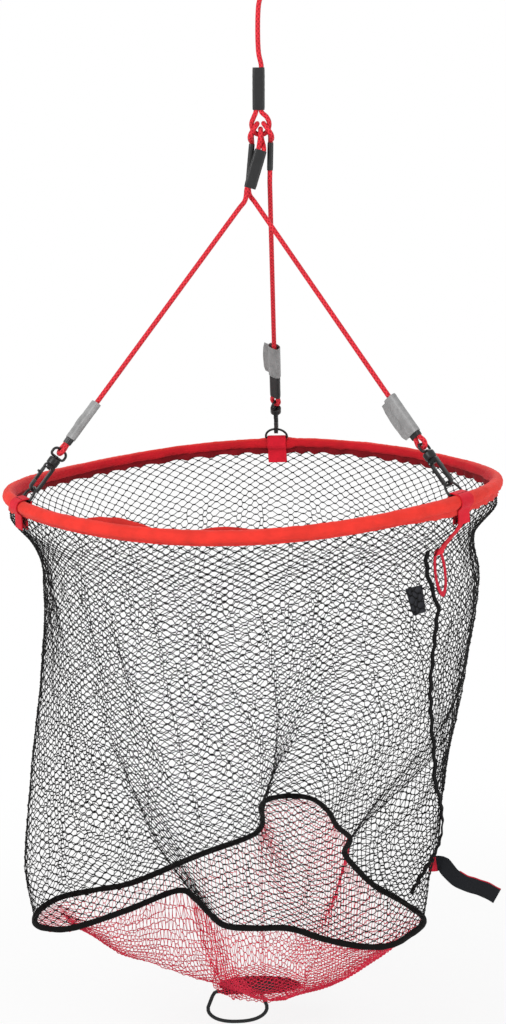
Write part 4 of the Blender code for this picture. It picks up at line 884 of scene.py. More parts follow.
def build_wall_net():
    """The wall's black netting in four pieces: bars joined by strands into long cells."""
    shares = np.linspace(-(NET_STRAIGHT + 6 * MM) / WALL_RUN, 1.0, WALL_HALF_ROWS)
    c, r = np.meshgrid(np.arange(WALL_COLUMNS), np.arange(WALL_HALF_ROWS))
    angle = (c + 0.5 * (r % 2)) * 360 / WALL_COLUMNS
    pleat, sway = wall_unrest(angle, shares)
    inside = np.clip((shares[r] - 0.02) * 9, 0, 1) * np.clip((1 - shares[r]) * 9, 0, 1)
    angle = angle + sway * 1.5 * inside + rng.normal(0, 0.22, c.shape) * inside
    share = (shares[r] + np.roll(sway, 17, axis=1) * 0.006 * inside
             + rng.normal(0, 0.0010, c.shape) * inside)
    angle, depth = gather(angle, share)
    places = wall_at(angle, share)
    # the net hangs in shallow pleats, flat where the tape, patch and label are sewn on
    normal = wall_normal(angle, np.clip(share, 0.0, 1.0))
    high_up = np.clip((0.3 - share) / 0.1, 0, 1)
    trim = np.abs(turn_from(angle - tape_angle(share) - 1.5 * high_up))
    by_strap = np.clip(1.4 - np.abs(share - STRAP_SHARE) / 0.05, 0, 1)
    quiet = np.clip((trim - 5.5 - 3.5 * high_up - 7.0 * by_strap) / 5.0, 0.06, 1)
    # beside the closing strap's root no pleat stands out in its way when it folds back
    swept = np.clip(2.4 - np.abs(share - STRAP_SHARE - 0.03) / 0.05, 0, 1)
    swept = swept * np.clip((40 - trim) / 6, 0, 1)
    pleat = pleat - (np.maximum(pleat, 0) + 0.15) * swept
    places = places + normal * (pleat * inside * quiet * WALL_PLEAT)[..., None]
    places = places - normal * (depth * 5.0 * MM)[..., None]
    places = places - normal * (by_strap * np.clip((13 - trim) / 4, 0, 1) * 1.6 * MM)[..., None]
    places += rng.normal(0, 0.32 * MM, places.shape) * (inside * quiet)[..., None]
    across = unit(round_wall(angle, share, 0.8))
    tilt = unit(across + rng.normal(0, 0.06, across.shape))
    arm = tilt * (KNOT_ARM * (1 - 0.7 * depth) * inside)[..., None]
    quarter = WALL_COLUMNS / 4
    for part in range(4):
        cols = np.arange(round(part * quarter), round((part + 1) * quarter))
        starts, ends = [], []
        for row in range(WALL_HALF_ROWS - 1):
            left = (cols - 1 + row % 2) % WALL_COLUMNS
            right = (left + 1) % WALL_COLUMNS
            here, reach = places[row, cols], arm[row, cols]
            starts += [here + reach, here - reach]
            ends += [places[row + 1, right] - arm[row + 1, right],
                     places[row + 1, left] + arm[row + 1, left]]
        knots = places[1:-1, cols].reshape(-1, 3)
        along = tilt[1:-1, cols].reshape(-1, 3)
        strands = (np.concatenate(starts), np.concatenate(ends))
        piece = netting(f"wall_netting_{'abcd'[part]}", strands, WALL_STRAND, knots, along,
                        KNOT_LENGTH, KNOT_RADIUS, BLACK_YARN)
        finish_piece(piece, "net", "black_net", "net_wall")


build_wall_net()


def floor_height(x, y):
    """The hanging floor's heights, how far it is from the seam, the seam there, and how
    far it is clear of the patch."""
    rim = seam_path[::6]
    gap = np.hypot(x[..., None] - rim[:, 0], y[..., None] - rim[:, 1])
    nearest = gap.argmin(-1)
    run = gap.min(-1)
    rim_z = rim[nearest, 2] - SEAM_DIAMETER / 2 - 1.4 * MM
    spread_out = np.hypot(x - PATCH_CENTRE[0], y - PATCH_CENTRE[1])
    bowl = np.minimum(-FLOOR_DEPTH + FLOOR_RISE * (spread_out / FLOOR_REACH) ** 2, rim_z)
    height = bowl + (rim_z - bowl) * np.exp(-run / FLOOR_SHOULDER)
    clear = np.clip((spread_out - 25 * MM) / (60 * MM), 0, 1)
    flat = np.minimum(height, -FLOOR_DEPTH + 4 * MM)
    return np.where(spread_out < 60 * MM, flat, height), run, rim[nearest], clear


def within_seam(x, y):
    """Whether points in plan are inside the bottom seam's outline."""
    outline = seam_path[::6, :2]
    inside = np.zeros(x.shape, bool)
    for (ax, ay), (bx, by) in zip(outline, np.roll(outline, -1, 0)):
        if ay != by:
            inside ^= ((ay > y) != (by > y)) & (x < (bx - ax) * (y - ay) / (by - ay) + ax)
    return inside


def build_floor_net():
    """The floor's finer red netting, cut off at the seam and drawn into creases."""
    rows = np.arange(-100, 84)
    c, r = np.meshgrid(np.arange(-40, 28), rows)
    x = (c + 0.5 * (r % 2)) * FLOOR_PITCH
    # rows lie closer in plan at the front, where the floor hangs steeply
    steep = FLOOR_STEEP_BELOW * FLOOR_ROW + (r - FLOOR_STEEP_BELOW) * FLOOR_STEEP_ROW
    y = np.where(r > FLOOR_STEEP_BELOW, r * FLOOR_ROW, steep)
    inside = within_seam(x, y)
    drop = np.zeros(x.shape)
    x1, y1 = x + rng.normal(0, 0.5 * MM, x.shape), y + rng.normal(0, 0.4 * MM, x.shape)
    for start, stop, width, strength in FLOOR_CREASES:
        start, stop, width = np.array(start) * MM, np.array(stop) * MM, width * MM
        run = stop - start
        length = math.hypot(*run)
        run = run / length
        along = ((x - start[0]) * run[0] + (y - start[1]) * run[1]) / length
        away = (x - start[0]) * -run[1] + (y - start[1]) * run[0]
        fade = np.clip(along * 5 + 0.6, 0, 1) * np.clip((1.15 - along) * 3, 0, 1)
        near = np.clip(1 - np.abs(away) / width, 0, 1)
        pull = away * strength * fade * near ** 1.3
        x1, y1 = x1 + run[1] * pull, y1 - run[0] * pull
        drop = np.maximum(drop, fade * near ** 3 * strength)
    height, run, rim, clear = floor_height(x1, y1)
    wave = [noise.noise(Vector((a * 22, b * 22, 0.5))) for a, b in zip(x1.ravel(), y1.ravel())]
    calm = np.clip(run / (30 * MM), 0, 1) * clear
    z = height + (np.array(wave).reshape(x.shape) * 3.5 * MM - drop * 3.5 * MM) * calm
    # the first nodes past the seam are drawn back onto it
    rim_place = np.stack([rim[..., 0], rim[..., 1], rim[..., 2] - SEAM_DIAMETER / 2 + 1 * MM], -1)
    places = np.where(inside[..., None], np.stack([x1, y1, z], -1), rim_place)
    tied = inside & (run > 4 * MM)
    arm = np.where(tied, FLOOR_ARM, 0.0)[..., None] * np.array([1.0, 0.0, 0.0])
    starts, ends = [], []
    whole, first, last = slice(0, None), slice(0, -1), slice(1, None)
    for i, row in enumerate(rows[:-1]):
        pairs = ((first, last, 1), (whole, whole, -1)) if row % 2 else ((whole, whole, 1),
                                                                       (last, first, -1))
        for here, there, side in pairs:
            used = inside[i, here] | inside[i + 1, there]
            starts.append((places[i, here] + arm[i, here] * side)[used])
            ends.append((places[i + 1, there] - arm[i + 1, there] * side)[used])
    starts, ends = np.concatenate(starts), np.concatenate(ends)
    keep = np.linalg.norm(starts - ends, axis=1) > 0.8 * MM
    knots = places[tied]
    along = np.tile(np.array([[1.0, 0.0, 0.0]]), (len(knots), 1))
    along = along + rng.normal(0, 0.12, knots.shape)
    starts, ends = starts[keep], ends[keep]
    for name, left in (("floor_netting_a", True), ("floor_netting_b", False)):
        strands = ((starts + ends)[:, 0] < -50 * MM) == left
        mine = (knots[:, 0] < -25 * MM) == left
        piece = netting(name, (starts[strands], ends[strands]), FLOOR_STRAND, knots[mine],
                        along[mine], FLOOR_KNOT_LENGTH, FLOOR_KNOT_RADIUS, RED_YARN)
        finish_piece(piece, "net", "red_net", "net_floor")


build_floor_net()


def build_seam():
    """The black binding that joins the wall to the floor."""
    path = seam_path[::3]
    swell = np.array([1 + 0.12 * ripple(p, 70) + 0.05 * ripple(p, 210) for p in path])
    piece = tube("seam_binding", path, BINDING_RADIUS * swell, BINDING, closed=True)
    finish_piece(piece, "net", "black_tape", "bottom_seam")


build_seam()

# ---------------------------------------------------------------- hoop sleeve and tabs


def at_back(angle):
    """How far the sleeve is drawn tighter: 1 at the hoop's back, 0 at its sides and the tab."""
    away = abs(turn_from(angle, 90))
    return min(1.0, max(0.0, (78 - away) / 25), max(0.0, (away - 2.6) / 2.5))


def at_front(angle):
    """How far the hem is turned up inside: 1 at the hoop's front, 0 at its sides."""
    return min(1.0, max(0.0, (62 - abs(turn_from(angle, 262))) / 14))


def build_sleeve():
    """The red cloth round the hoop, with the puckers that its hem pulls into it."""
    grid = []
    for i in range(SLEEVE_STEPS):
        angle = 360 * i / SLEEVE_STEPS
        ring = []
        for r, z in circle(30, math.pi / 2):
            # puckers run slantwise and are deepest near the hem
            slant = compass(angle + 3.5 * z)
            pucker = ripple(slant, 15.0, 1.0) + 0.7 * ripple(slant, 37.0, 3.0)
            side = ripple(compass(angle, 0.3 * z + 0.3 * r), 8.0, 8.0)
            fine = ripple(compass(angle, 0.06 * z - 0.06 * r), 55.0, 6.0)
            radius = (SLEEVE_RADIUS - 0.3 * MM + (1.1 * max(0.0, -z) + 0.35) * MM * pucker
                      + 0.7 * MM * side + 0.5 * MM * fine)
            radius *= 1 - SLEEVE_TUCK * at_back(angle)
            ring.append(hoop_point(angle, r * radius, z * radius))
        grid.append(ring)
    piece = loft("sleeve_cloth", grid, FABRIC, closed_u=True)
    finish_piece(piece, "net", "red_fabric", "hoop_sleeve")


def build_hem(name, side, material, wave):
    """One side of the sewn hem below the sleeve: a narrow skirt in scallops."""
    grid = []
    for i in range(HEM_STEPS):
        angle = 360 * i / HEM_STEPS
        spot = compass(angle)
        near_tab = min(abs(turn_from(angle, at)) for at in (90, 210, 330))
        free = min(1.0, max(0.0, (near_tab - 2.4) / 2.0)) * wave
        beat = 2 * math.pi * HOOP_RADIUS * math.radians(angle) / SCALLOP_PITCH
        beat += 5.0 * ripple(spot, 5.0, 2.0)
        scallop = math.sin(beat) * (0.75 + 0.5 * ripple(spot, 9.0, 4.0))
        front = at_front(angle)
        depth = (HEM_DROP + SCALLOP_DEPTH * scallop * free) * (1 - 0.86 * front) + 0.6 * MM
        sway = (2.6 * math.cos(beat) * free - 0.8 * wave) * MM * (1 - front)
        top = -SLEEVE_RADIUS * (1 - SLEEVE_TUCK * at_back(angle)) + 2.2 * MM
        outer, inner = [], []
        for s in shares_of(5):
            z = top - (depth + 2.2 * MM) * s
            centre = side * HEM_SIDE * (1 - 0.2 * s) + sway * s * s
            outer.append((centre + HEM_WALL_HALF, z))
            inner.append((centre - HEM_WALL_HALF, z))
        grid.append(hoop_ring(angle, outer, inner))
    piece = loft(name, grid, material, closed_u=True, sharp=60)
    finish_piece(piece, "net", "red_fabric", "hoop_sleeve")


def build_hem_turns():
    """Two stretches at the front where the hem stands up inside the hoop."""
    for number, (start, stop, high) in enumerate(HEM_TURNS):
        grid = []
        for share in shares_of(120):
            angle = start + (stop - start) * share
            swell = math.sin(math.pi * share) ** 0.5
            wavy = ripple(compass(angle), 16.0, 5.0)
            top = -2 * MM + (SLEEVE_RADIUS + 2 * MM + high * MM * (1 + 0.35 * wavy)) * swell
            front, back = [], []
            for s in shares_of(8):
                z = -6 * MM + (top + 6 * MM) * s
                # it lies round the sleeve's inner side and stands up past it
                r = -math.sqrt(max(0.0, SLEEVE_RADIUS ** 2 - min(0.0, z) ** 2)) - 0.9 * MM
                r += (1.3 * MM * s + 0.9 * MM * wavy * s) * swell
                front.append((r - 0.55 * MM, z))
                back.append((r + 0.55 * MM, z))
            grid.append(hoop_ring(angle, front, back))
        piece = loft(f"hem_turn_{number + 1}", grid, FLAP, sharp=70)
        finish_piece(piece, "net", "red_fabric", "hoop_sleeve")


build_sleeve()
build_hem("hem_outer", 1, FLAP, 0.45)
# the inner side of the hem takes the darker copy of its cloth: painted shade
build_hem("hem_inner", -1, SHADED_HEM, 1.0)
build_hem_turns()

# Upper sleeves of the three legs: top centre, bottom centre and the side their strands lie along
UPPER_SLEEVES = {
    "left": (from_photo(23.6, -2.6, 403.7), from_photo(8.7, -2.6, 359.0), ACROSS),
    "right": (from_photo(13.0, 10.0, 411.0), from_photo(7.5, 10.0, 366.0), DEEP),
    "rear": (from_photo(35.5, 9.4, 412.0), from_photo(33.8, 9.4, 379.0), DEEP),
}
# The upper eyes' turns over the haul line's eye, from the hub, in mm
EYE_ROUTES = {
    "left": ((1.2, 6.4, -6.0), (0.2, 6.5, 0.6), (0.0, 4.8, 5.0), (0.0, 0.0, 6.7),
             (0.0, -4.8, 5.0), (-0.2, -6.5, 0.6), (-1.2, -6.4, -6.0)),
    "right": ((-11.0, 11.0, -1.0), (-8.4, 7.0, 6.6), (-4.9, 4.9, 11.4), (-3.8, 0.0, 13.2),
              (-4.9, -4.9, 11.4), (-8.4, -6.8, 6.6), (-12.4, -5.6, 0.0), (-12.8, 1.4, -5.6)),
    "rear": ((11.5, 10.6, -1.0), (8.4, 7.0, 6.6), (4.9, 4.9, 11.4), (3.8, 0.0, 13.2),
             (4.9, -4.9, 11.4), (8.4, -6.8, 6.6), (12.4, -5.6, 0.0), (13.2, 1.0, -5.2)),
}


def leg_target(name):
    """The point just below the upper sleeve that the leg runs to."""
    top, bottom, _ = UPPER_SLEEVES[name]
    return bottom - (top - bottom).normalized() * SLEEVE_LEAD


def support_frame(angle, target):
    """Seat, tangent, the ring's direction, its bar, the hook's bearing point and the leg."""
    chord = HOOP_RADIUS * math.cos(math.pi / HOOP_STEPS)
    turn = math.radians(angle)
    seat = Vector((chord * math.cos(turn), chord * math.sin(turn), float(hoop_height(angle))))
    tangent = Vector((-math.sin(turn), math.cos(turn), 0.0))
    pull = target - seat
    ring = (pull - tangent * pull.dot(tangent)).normalized()
    bar = seat + ring * BAR_REACH
    leg = ring
    for _ in range(4):
        touch = bar + ring * RING_SIDE + leg * RING_RADIUS
        leg = (target - touch).normalized()
    return seat, tangent, ring, bar, touch, leg


def build_tab(name, seat, tangent, leg):
    """The webbing tab: over the D-ring's bar, round the sleeve and down both hem sides."""
    radial = tangent.cross(UP)
    reach = TAB_THICKNESS / 2 + SEAT_GAP
    bar_angle = math.degrees(math.atan2(leg.dot(UP), leg.dot(radial)))
    tail = HEM_HALF + reach
    around = SLEEVE_RADIUS + reach
    over_bar = RING_WIRE / 2 + reach
    bar_place = (BAR_REACH * math.cos(math.radians(bar_angle)),
                 BAR_REACH * math.sin(math.radians(bar_angle)))
    lean = math.degrees(math.acos((around - over_bar) / BAR_REACH))
    levels = (-TAB_DROP, -SLEEVE_RADIUS - 9 * MM, -SLEEVE_RADIUS - 2.5 * MM)
    middle = [(tail, level) for level in levels]
    middle += arc((0, 0), around, -58, bar_angle - lean, 12)
    middle += arc(bar_place, over_bar, bar_angle - lean, bar_angle + lean, 9)
    middle += arc((0, 0), around, bar_angle + lean, 238, 12)
    middle += [(-tail, level) for level in reversed(levels)]
    spine = [seat + radial * r + UP * z for r, z in middle]
    pinch = [1.0 - 0.03 * math.sin(i * 1.7) for i in range(len(spine))]
    widths = [tangent * (TAB_WIDTH / 2 * p) for p in pinch]
    piece = strip(f"tab_{name}", spine, widths, TAB_THICKNESS, TAB)
    finish_piece(piece, "net", "red_fabric", f"webbing_tab_{name}")
    # the seam that closes the tab under the ring's bar
    x, y, _ = compass(bar_angle - lean - 3)
    out = around + TAB_THICKNESS / 2
    line = [seat + radial * (out * x) + UP * (out * y) + tangent * ((s - 0.5) * TAB_WIDTH * 0.86)
            for s in shares_of(12)]
    stitch = tube(f"tab_seam_{name}", line, 0.35 * MM, SHADED_HEM, sides=6)
    finish_piece(stitch, "net", "red_fabric")


def wire_piece(name, placing, outline, wire, body, node):
    """A closed black wire bent along an outline in the placing's XZ plane."""
    points = place_all(placing, [(x, 0.0, z) for x, z in outline])
    piece = tube(name, points, wire / 2, METAL, closed=True)
    finish_piece(piece, body, "black_metal", node)


def build_ring(name, placing, body):
    """The D-ring, its bar on the placing's X axis."""
    half = RING_RADIUS
    corner = 2.2 * MM
    outline = [(x, 0.0) for x in (-half + corner, -half / 2, 0.0, half / 2, half - corner)]
    outline += arc((half - corner, corner), corner, -70, 0, 4)
    outline += arc((0.0, RING_SIDE), half, 0, 180, 28)
    outline += arc((-half + corner, corner), corner, 180, 250, 4)
    wire_piece(f"ring_{name}_wire", placing, outline, RING_WIRE, body, f"d_ring_{name}")


def rounded_copy(node, name, width, body, segments=2):
    """A CAD solid's shape in black metal, with its edges eased."""
    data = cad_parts[node].data.copy()
    data.name = name
    piece = link_object(name, data)
    shape = bmesh.new()
    shape.from_mesh(data)
    bmesh.ops.remove_doubles(shape, verts=shape.verts, dist=2e-6)
    flat = [e for e in shape.edges if len(e.link_faces) == 2 and e.calc_face_angle(0.0) < 0.02]
    bmesh.ops.dissolve_edges(shape, edges=flat, use_verts=False)
    shape.to_mesh(data)
    shape.free()
    data.materials.clear()
    data.materials.append(METAL)
    soften = piece.modifiers.new("ease", "BEVEL")
    soften.width = width
    soften.segments = segments
    soften.limit_method = "ANGLE"
    soften.angle_limit = math.radians(40)
    bpy.context.view_layer.update()
    graph = bpy.context.evaluated_depsgraph_get()
    done = bpy.data.meshes.new_from_object(piece.evaluated_get(graph))
    piece.modifiers.clear()
    piece.data = done
    done.shade_smooth()
    done.set_sharp_from_angle(angle=math.radians(45))
    finish_piece(piece, body, "black_metal", node)


def build_bail(name, placing, body):
    """The turning bail and its stem."""
    half = (BAIL_WIDTH - BAIL_WIRE) / 2
    low = BAIL_FOOT + BAIL_WIRE / 2
    high = BAIL_TOP - BAIL_WIRE / 2
    corner = 3.2 * MM
    crown = 5.4 * MM
    outline = [(0.0, low), (half - corner - 2 * MM, low)]
    outline += arc((half - corner, low + corner), corner, -90, 0, 6)
    outline += arc((half - crown, high - crown), crown, 0, 90, 8)
    outline += arc((crown - half, high - crown), crown, 90, 180, 8)
    outline += arc((corner - half, low + corner), corner, 180, 270, 6)
    outline += [(corner + 2 * MM - half, low)]
    node = f"swivel_bail_{name}"
    wire_piece(f"bail_{name}", placing, outline, BAIL_WIRE, body, node)
    top = HOOK_LOOP_TOP - SEAT_GAP
    collar = BAIL_FOOT + BAIL_WIRE
    profile = ((1.2, top - 1.4 * MM), (2.3, top - 1.2 * MM), (2.5, top - 0.6 * MM), (2.3, top),
               (2.0, top + 0.1 * MM), (2.0, BAIL_FOOT), (2.3, BAIL_FOOT + 0.4 * MM),
               (2.3, collar - 0.3 * MM), (1.6, collar))
    grid = [place_all(placing, [(r * MM * x, r * MM * y, height) for x, y in circle(24)])
            for r, height in profile]
    finish_piece(loft(f"stem_{name}", grid, METAL, sharp=40), body, "black_metal", node)


def shrink_outline(width, depth, count=40, groove=0.16):
    """A sleeve shrunk over two strands side by side: a long oval drawn in at its middle."""
    points = []
    end = depth / 2
    run = width / 2 - end
    for c, s in circle(count):
        x = run * max(-1.0, min(1.0, c * 1.6)) + end * c
        x = max(-width / 2, min(width / 2, x))
        waist = 1 - groove * math.exp(-(x / (0.28 * width)) ** 2)
        points.append((x, end * math.copysign(abs(s) ** 0.72, s) * waist))
    return points


def shrink_cover(name, placing, length, body, node, swap, seed):
    """Heat-shrink tube over two strands: ends drawn in, a groove between the strands."""
    rows = []
    for s in shares_of(28):
        lip = math.exp(-min(s, 1 - s) * length / (2.2 * MM))
        scale = (1 - 0.045 * lip) * (1 + 0.018 * ripple((seed, s * 3, 0), 4.0))
        outline = shrink_outline(SHRINK_WIDTH, SHRINK_DEPTH)
        rows.append([(x * scale, y * scale, length * s) for x, y in outline])
    inner = shrink_outline(PAIR_WIDTH - 0.3 * MM, PAIR_DEPTH - 0.3 * MM, groove=0.05)
    rows += [[(x * 0.955, y * 0.93, z) for x, y in inner] for z in (length - 0.15 * MM, 0.15 * MM)]
    if swap:
        rows = [[(y, x, z) for x, y, z in row] for row in rows]
    grid = [place_all(placing, row) for row in rows]
    piece = loft(name, grid, SHRINK, closed_u=True, sharp=50)
    return finish_piece(piece, body, "shrink_tube", node)


def build_wrap(name, placing, foot, flap_side, body):
    """The loose wrap of grey tape with its two-layer flap, creased and curling at its end."""
    width = SHRINK_WIDTH + 0.6 * MM
    depth = SHRINK_DEPTH + 0.6 * MM
    seat = placing @ Matrix.Translation((0.0, 0.0, foot))
    shares = shares_of(22)
    outer, inner = [], []
    for s in shares:
        z = WRAP_LENGTH * s
        ring = []
        for c, sn in circle(36):
            swell = 0.22 * MM * ripple((c * 1.3, sn * 1.3, s * 6 + foot * 50), 1.6)
            x = (width / 2 + WRAP_WALL) * math.copysign(abs(c) ** 0.8, c) + c * swell
            y = (depth / 2 + WRAP_WALL) * math.copysign(abs(sn) ** 0.8, sn) + sn * swell
            ring.append((y, x, z))
        outer.append(ring)
        lining = shrink_outline(width, depth, 36, groove=0.0)
        inner.append([(y * 0.99, x * 0.99, z) for x, y in lining])
    grid = [place_all(seat, row) for row in outer + inner[::-1]]
    piece = loft(f"wrap_{name}", grid, GREY, closed_u=True, sharp=50)
    finish_piece(piece, body, "grey_tape", f"tape_wrap_{name}")
    near = width / 2 - 0.2 * MM
    far = width / 2 + WRAP_WALL + WRAP_FLAP
    grid = []
    for s in shares:
        z = (0.6 + (WRAP_LENGTH / MM - 1.8) * s) * MM
        reach = far - 2.2 * MM * max(0.0, s - 0.82) / 0.18 - 3.0 * MM * max(0.0, 0.12 - s) / 0.12
        reach += 0.35 * MM * ripple((s * 4, foot * 20, 2), 1.3)
        front, back = [], []
        for part in shares_of(8):
            y = flap_side * (near + (reach - near) * part)
            bend = 0.55 * MM * math.sin(s * 9 + foot * 90) * part * part
            x = bend + 0.62 * MM * (1 - 0.35 * part)
            front.append((x, y, z))
            back.append((x - 1.24 * MM * (1 - 0.35 * part), y, z))
        grid.append(place_all(seat, front + back[::-1]))
    flap = loft(f"wrap_flap_{name}", grid, GREY, sharp=60)
    finish_piece(flap, body, "grey_tape", f"tape_wrap_{name}")


def eye_route(name):
    """The upper eye: from the tail in its sleeve, over the haul line's eye and back down."""
    top, bottom, width = UPPER_SLEEVES[name]
    along = (top - bottom).normalized()
    side = (width - along * width.dot(along)).normalized() * STRAND_OFFSET
    length = (top - bottom).length
    levels = [12 * MM, length - 12 * MM, length - 4 * MM, length + MOUTH_RUN]
    route = [bottom + side + along * level for level in [2 * MM] + levels]
    route += [from_photo(*place, hub_point) for place in EYE_ROUTES[name]]
    levels = levels[::-1] + [4 * MM, -MOUTH_RUN]
    return route + [bottom - side + along * level for level in levels]


def build_leg(name, touch, leg):
    """One leg of the bridle with its upper eye."""
    low = touch + leg * CORD_END
    reach = (leg_target(name) - low).dot(leg)
    route = eye_route(name) + [low + leg * (reach - back * MM) for back in (4, 16, 40)]
    run = [Vector(p) for p in open_curve(route, 2.0 * MM)]
    run += [run[-1].lerp(low, k / 40) for k in range(1, 41)]
    piece = tube(f"leg_rope_{name}", run, CORD_DIAMETER / 2, CORD, sides=16)
    finish_piece(piece, "net", "red_cord", f"leg_cord_{name}")
    top, bottom, width = UPPER_SLEEVES[name]
    shrink_cover(f"upper_cover_{name}", axes(bottom, width, top - bottom), (top - bottom).length,
                 "net", f"upper_shrink_{name}", False, len(name))


def build_lower_eye(name, placing, body):
    """The cord's lower eye, which hangs in the bail."""
    rise = BAIL_WIRE / 2 + SEAT_GAP + CORD_DIAMETER / 2
    bend = BAIL_TOP - BAIL_WIRE / 2
    down = [(STRAND_OFFSET, EYE_END), (STRAND_OFFSET, SHRINK_BOTTOM + 14 * MM),
            (STRAND_OFFSET, SHRINK_BOTTOM), (rise + 0.3 * MM, bend + 1.5 * MM)]
    eye = down + arc((0.0, bend), rise, -15, -165, 5) + [(-y, z) for y, z in down[::-1]]
    path = open_curve([(0.0, y, z) for y, z in eye], 1.2 * MM)
    points = place_all(placing, path)
    piece = tube(f"eye_rope_{name}", points, CORD_DIAMETER / 2, CORD, sides=16)
    finish_piece(piece, body, "red_cord", f"lower_eye_{name}")
    foot = placing @ Matrix.Translation((0.0, 0.0, SHRINK_BOTTOM))
    shrink_cover(f"lower_cover_{name}", foot, SHRINK_LENGTH, body, f"lower_shrink_{name}", True,
                 7 + len(name))


def build_supports():
    """The three supports, each with its tab, D-ring, swivel hook, sleeves and leg."""
    for name, angle, turn, wrap_foot, flap_side in SUPPORTS:
        seat, tangent, ring, bar, touch, leg = support_frame(angle, leg_target(name))
        build_tab(name, seat, tangent, ring)
        build_ring(name, axes(bar, tangent, ring), f"ring_{name}")
        rounded_copy(f"snap_hook_{name}", f"hook_{name}", 0.9 * MM, "net", 3)
        rounded_copy(f"hook_gate_{name}", f"gate_{name}", 0.45 * MM, f"gate_{name}")
        spin = axes(touch, tangent, leg) @ Matrix.Rotation(math.radians(turn), 4, "Z")
        body = f"swivel_{name}"
        build_bail(name, spin, body)
        build_lower_eye(name, spin, body)
        build_wrap(name, spin, wrap_foot, flap_side, f"wrap_{name}")
        build_leg(name, touch, leg)


build_supports()


def build_haul_line():
    """The haul line: one rope with an eye at each end, and the sleeve on each eye."""
    offset = STRAND_OFFSET
    run_in = 2 * MM
    merge = 18 * MM
    low, high = HAUL_SHRINK_BOTTOM, HAUL_SHRINK_BOTTOM + HAUL_SHRINK_LENGTH
    route = [(low + 27 * MM, -offset), (low + 17 * MM, -offset), (low + 6 * MM, -offset),
             (low - run_in, -offset)]
    path = [on_haul(height, reach) for height, reach in route]
    loop = [(-7.8, 20.5), (-10.6, 13.0), (-8.6, 4.6), (-4.6, 0.9), (0.0, 0.0)]
    loop += [(-across, up) for across, up in reversed(loop[:-1])]
    path += [from_photo(across, 0.0, up, hub_point) for across, up in loop]
    route = [(low - run_in, offset), (low + 6 * MM, offset), (high - 14 * MM, offset),
             (high + run_in, offset), (high + merge, 0.0)]
    low, high = HAND_SHRINK_BOTTOM, HAND_SHRINK_BOTTOM + HAUL_SHRINK_LENGTH
    wide = HAND_LOOP_HALF_WIDTH
    side = [(high, offset), (high + 8 * MM, offset + 1 * MM), (high + 26 * MM, wide * 0.6),
            (high + 52 * MM, wide), (high + 82 * MM, wide * 0.74)]
    route += [(low - merge, 0.0), (low - run_in, offset), (low + 14 * MM, offset),
              (high - 14 * MM, offset), *side, (HAND_LOOP_TOP, 0.0)]
    route += [(height, -reach) for height, reach in reversed(side)]
    route += [(high - 14 * MM, -offset), (low + 14 * MM, -offset), (low + 3 * MM, -offset)]
    path += [on_haul(height, reach) for height, reach in route]
    path = open_curve(path, 2.4 * MM)
    rope = tube("haul_rope", path, CORD_DIAMETER / 2, CORD, sides=16)
    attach(rope, "net")
    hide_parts("haul_line")
    for name, foot, node in (("haul_cover", HAUL_SHRINK_BOTTOM, "haul_shrink"),
                             ("hand_loop_cover", HAND_SHRINK_BOTTOM, "hand_loop_shrink")):
        placing = axes(on_haul(foot), ACROSS, HAUL_LEAN)
        shrink_cover(name, placing, HAUL_SHRINK_LENGTH, "net", node, False,
                                   foot * 10)


build_haul_line()

# ---------------------------------------------------------------- trim on the net's side


def build_side_tape():
    """The dark tape down the side seam, puckered by its stitching."""
    shares = np.linspace(TAPE_SHARES[0], TAPE_SHARES[-1], 260)
    angle = tape_angle(shares)
    points = wall_at(angle, shares)
    travel = travelled(points)
    spine, widths = [], []
    along = round_wall(angle, shares, 2)
    for p, n, a, run in zip(points, wall_normal(angle, shares), along, travel):
        a = a - n * (a @ n)
        a /= np.linalg.norm(a)
        beat = run / (23 * MM) * 2 * math.pi + 2.4 * ripple((run * 9, 0, 0), 1.9)
        fade = min(1.0, run / (20 * MM), (travel[-1] - run) / (20 * MM))
        sway = (1.5 * math.sin(beat) + 1.6 * ripple((run * 22, 3, 0), 1.3)) * MM * fade
        wide = 1 + 0.16 * ripple((run * 40, 7, 0), 1.9)
        spine.append(p + n * (TAPE_LIFT + 0.5 * MM * (1 + math.cos(beat)) * fade) + a * sway)
        widths.append(a * SIDE_TAPE_WIDTH / 2 * wide)
    piece = strip("side_tape", spine, widths, SIDE_TAPE_THICKNESS * 1.3, TAPE)
    finish_piece(piece, "net", "black_tape", "side_seam_tape")


build_side_tape()


def badge_placing(angle, share, lift):
    """A placing off the wall: X round it, Y up it and Z outwards."""
    normal = Vector(wall_normal(angle, share))
    centre = Vector(wall_at(angle, share)) + normal * lift
    placing = axes(centre, Vector(round_wall(angle, share)), normal)
    up_local = placing.to_3x3().inverted() @ UP
    turn = math.atan2(up_local.y, up_local.x) - math.pi / 2
    return placing @ Matrix.Rotation(turn, 4, "Z")


def build_oval():
    """The red oval ring sewn over the mesh."""
    placing = badge_placing(SIDE_ANGLE + PATCH_TURN, PATCH_SHARE, 2.45 * MM)
    section = ((0.0, 0.0), (0.03, 0.55), (0.15, 0.75), (0.5, 0.62), (0.85, 0.75), (0.97, 0.55),
               (1.0, 0.0), (0.85, -0.7), (0.15, -0.7))
    grid = []
    for c, s in circle(96):
        ragged = 1 + 0.02 * ripple((c * 2, s * 2, 0), 2.3)
        outer = Vector((OVAL_WIDTH / 2 * c, OVAL_HEIGHT / 2 * s, 0.0)) * ragged
        inner = Vector((c * (OVAL_WIDTH / 2 - OVAL_BAND),
                        s * (OVAL_HEIGHT / 2 - OVAL_BAND * 1.25), 0.0))
        ring = [(*outer.lerp(inner, part).xy, z * MM) for part, z in section]
        grid.append(place_all(placing, ring))
    piece = loft("oval_ring", grid, STRAP_EDGE, closed_u=True, sharp=70)
    finish_piece(piece, "net", "red_fabric", "oval_patch")


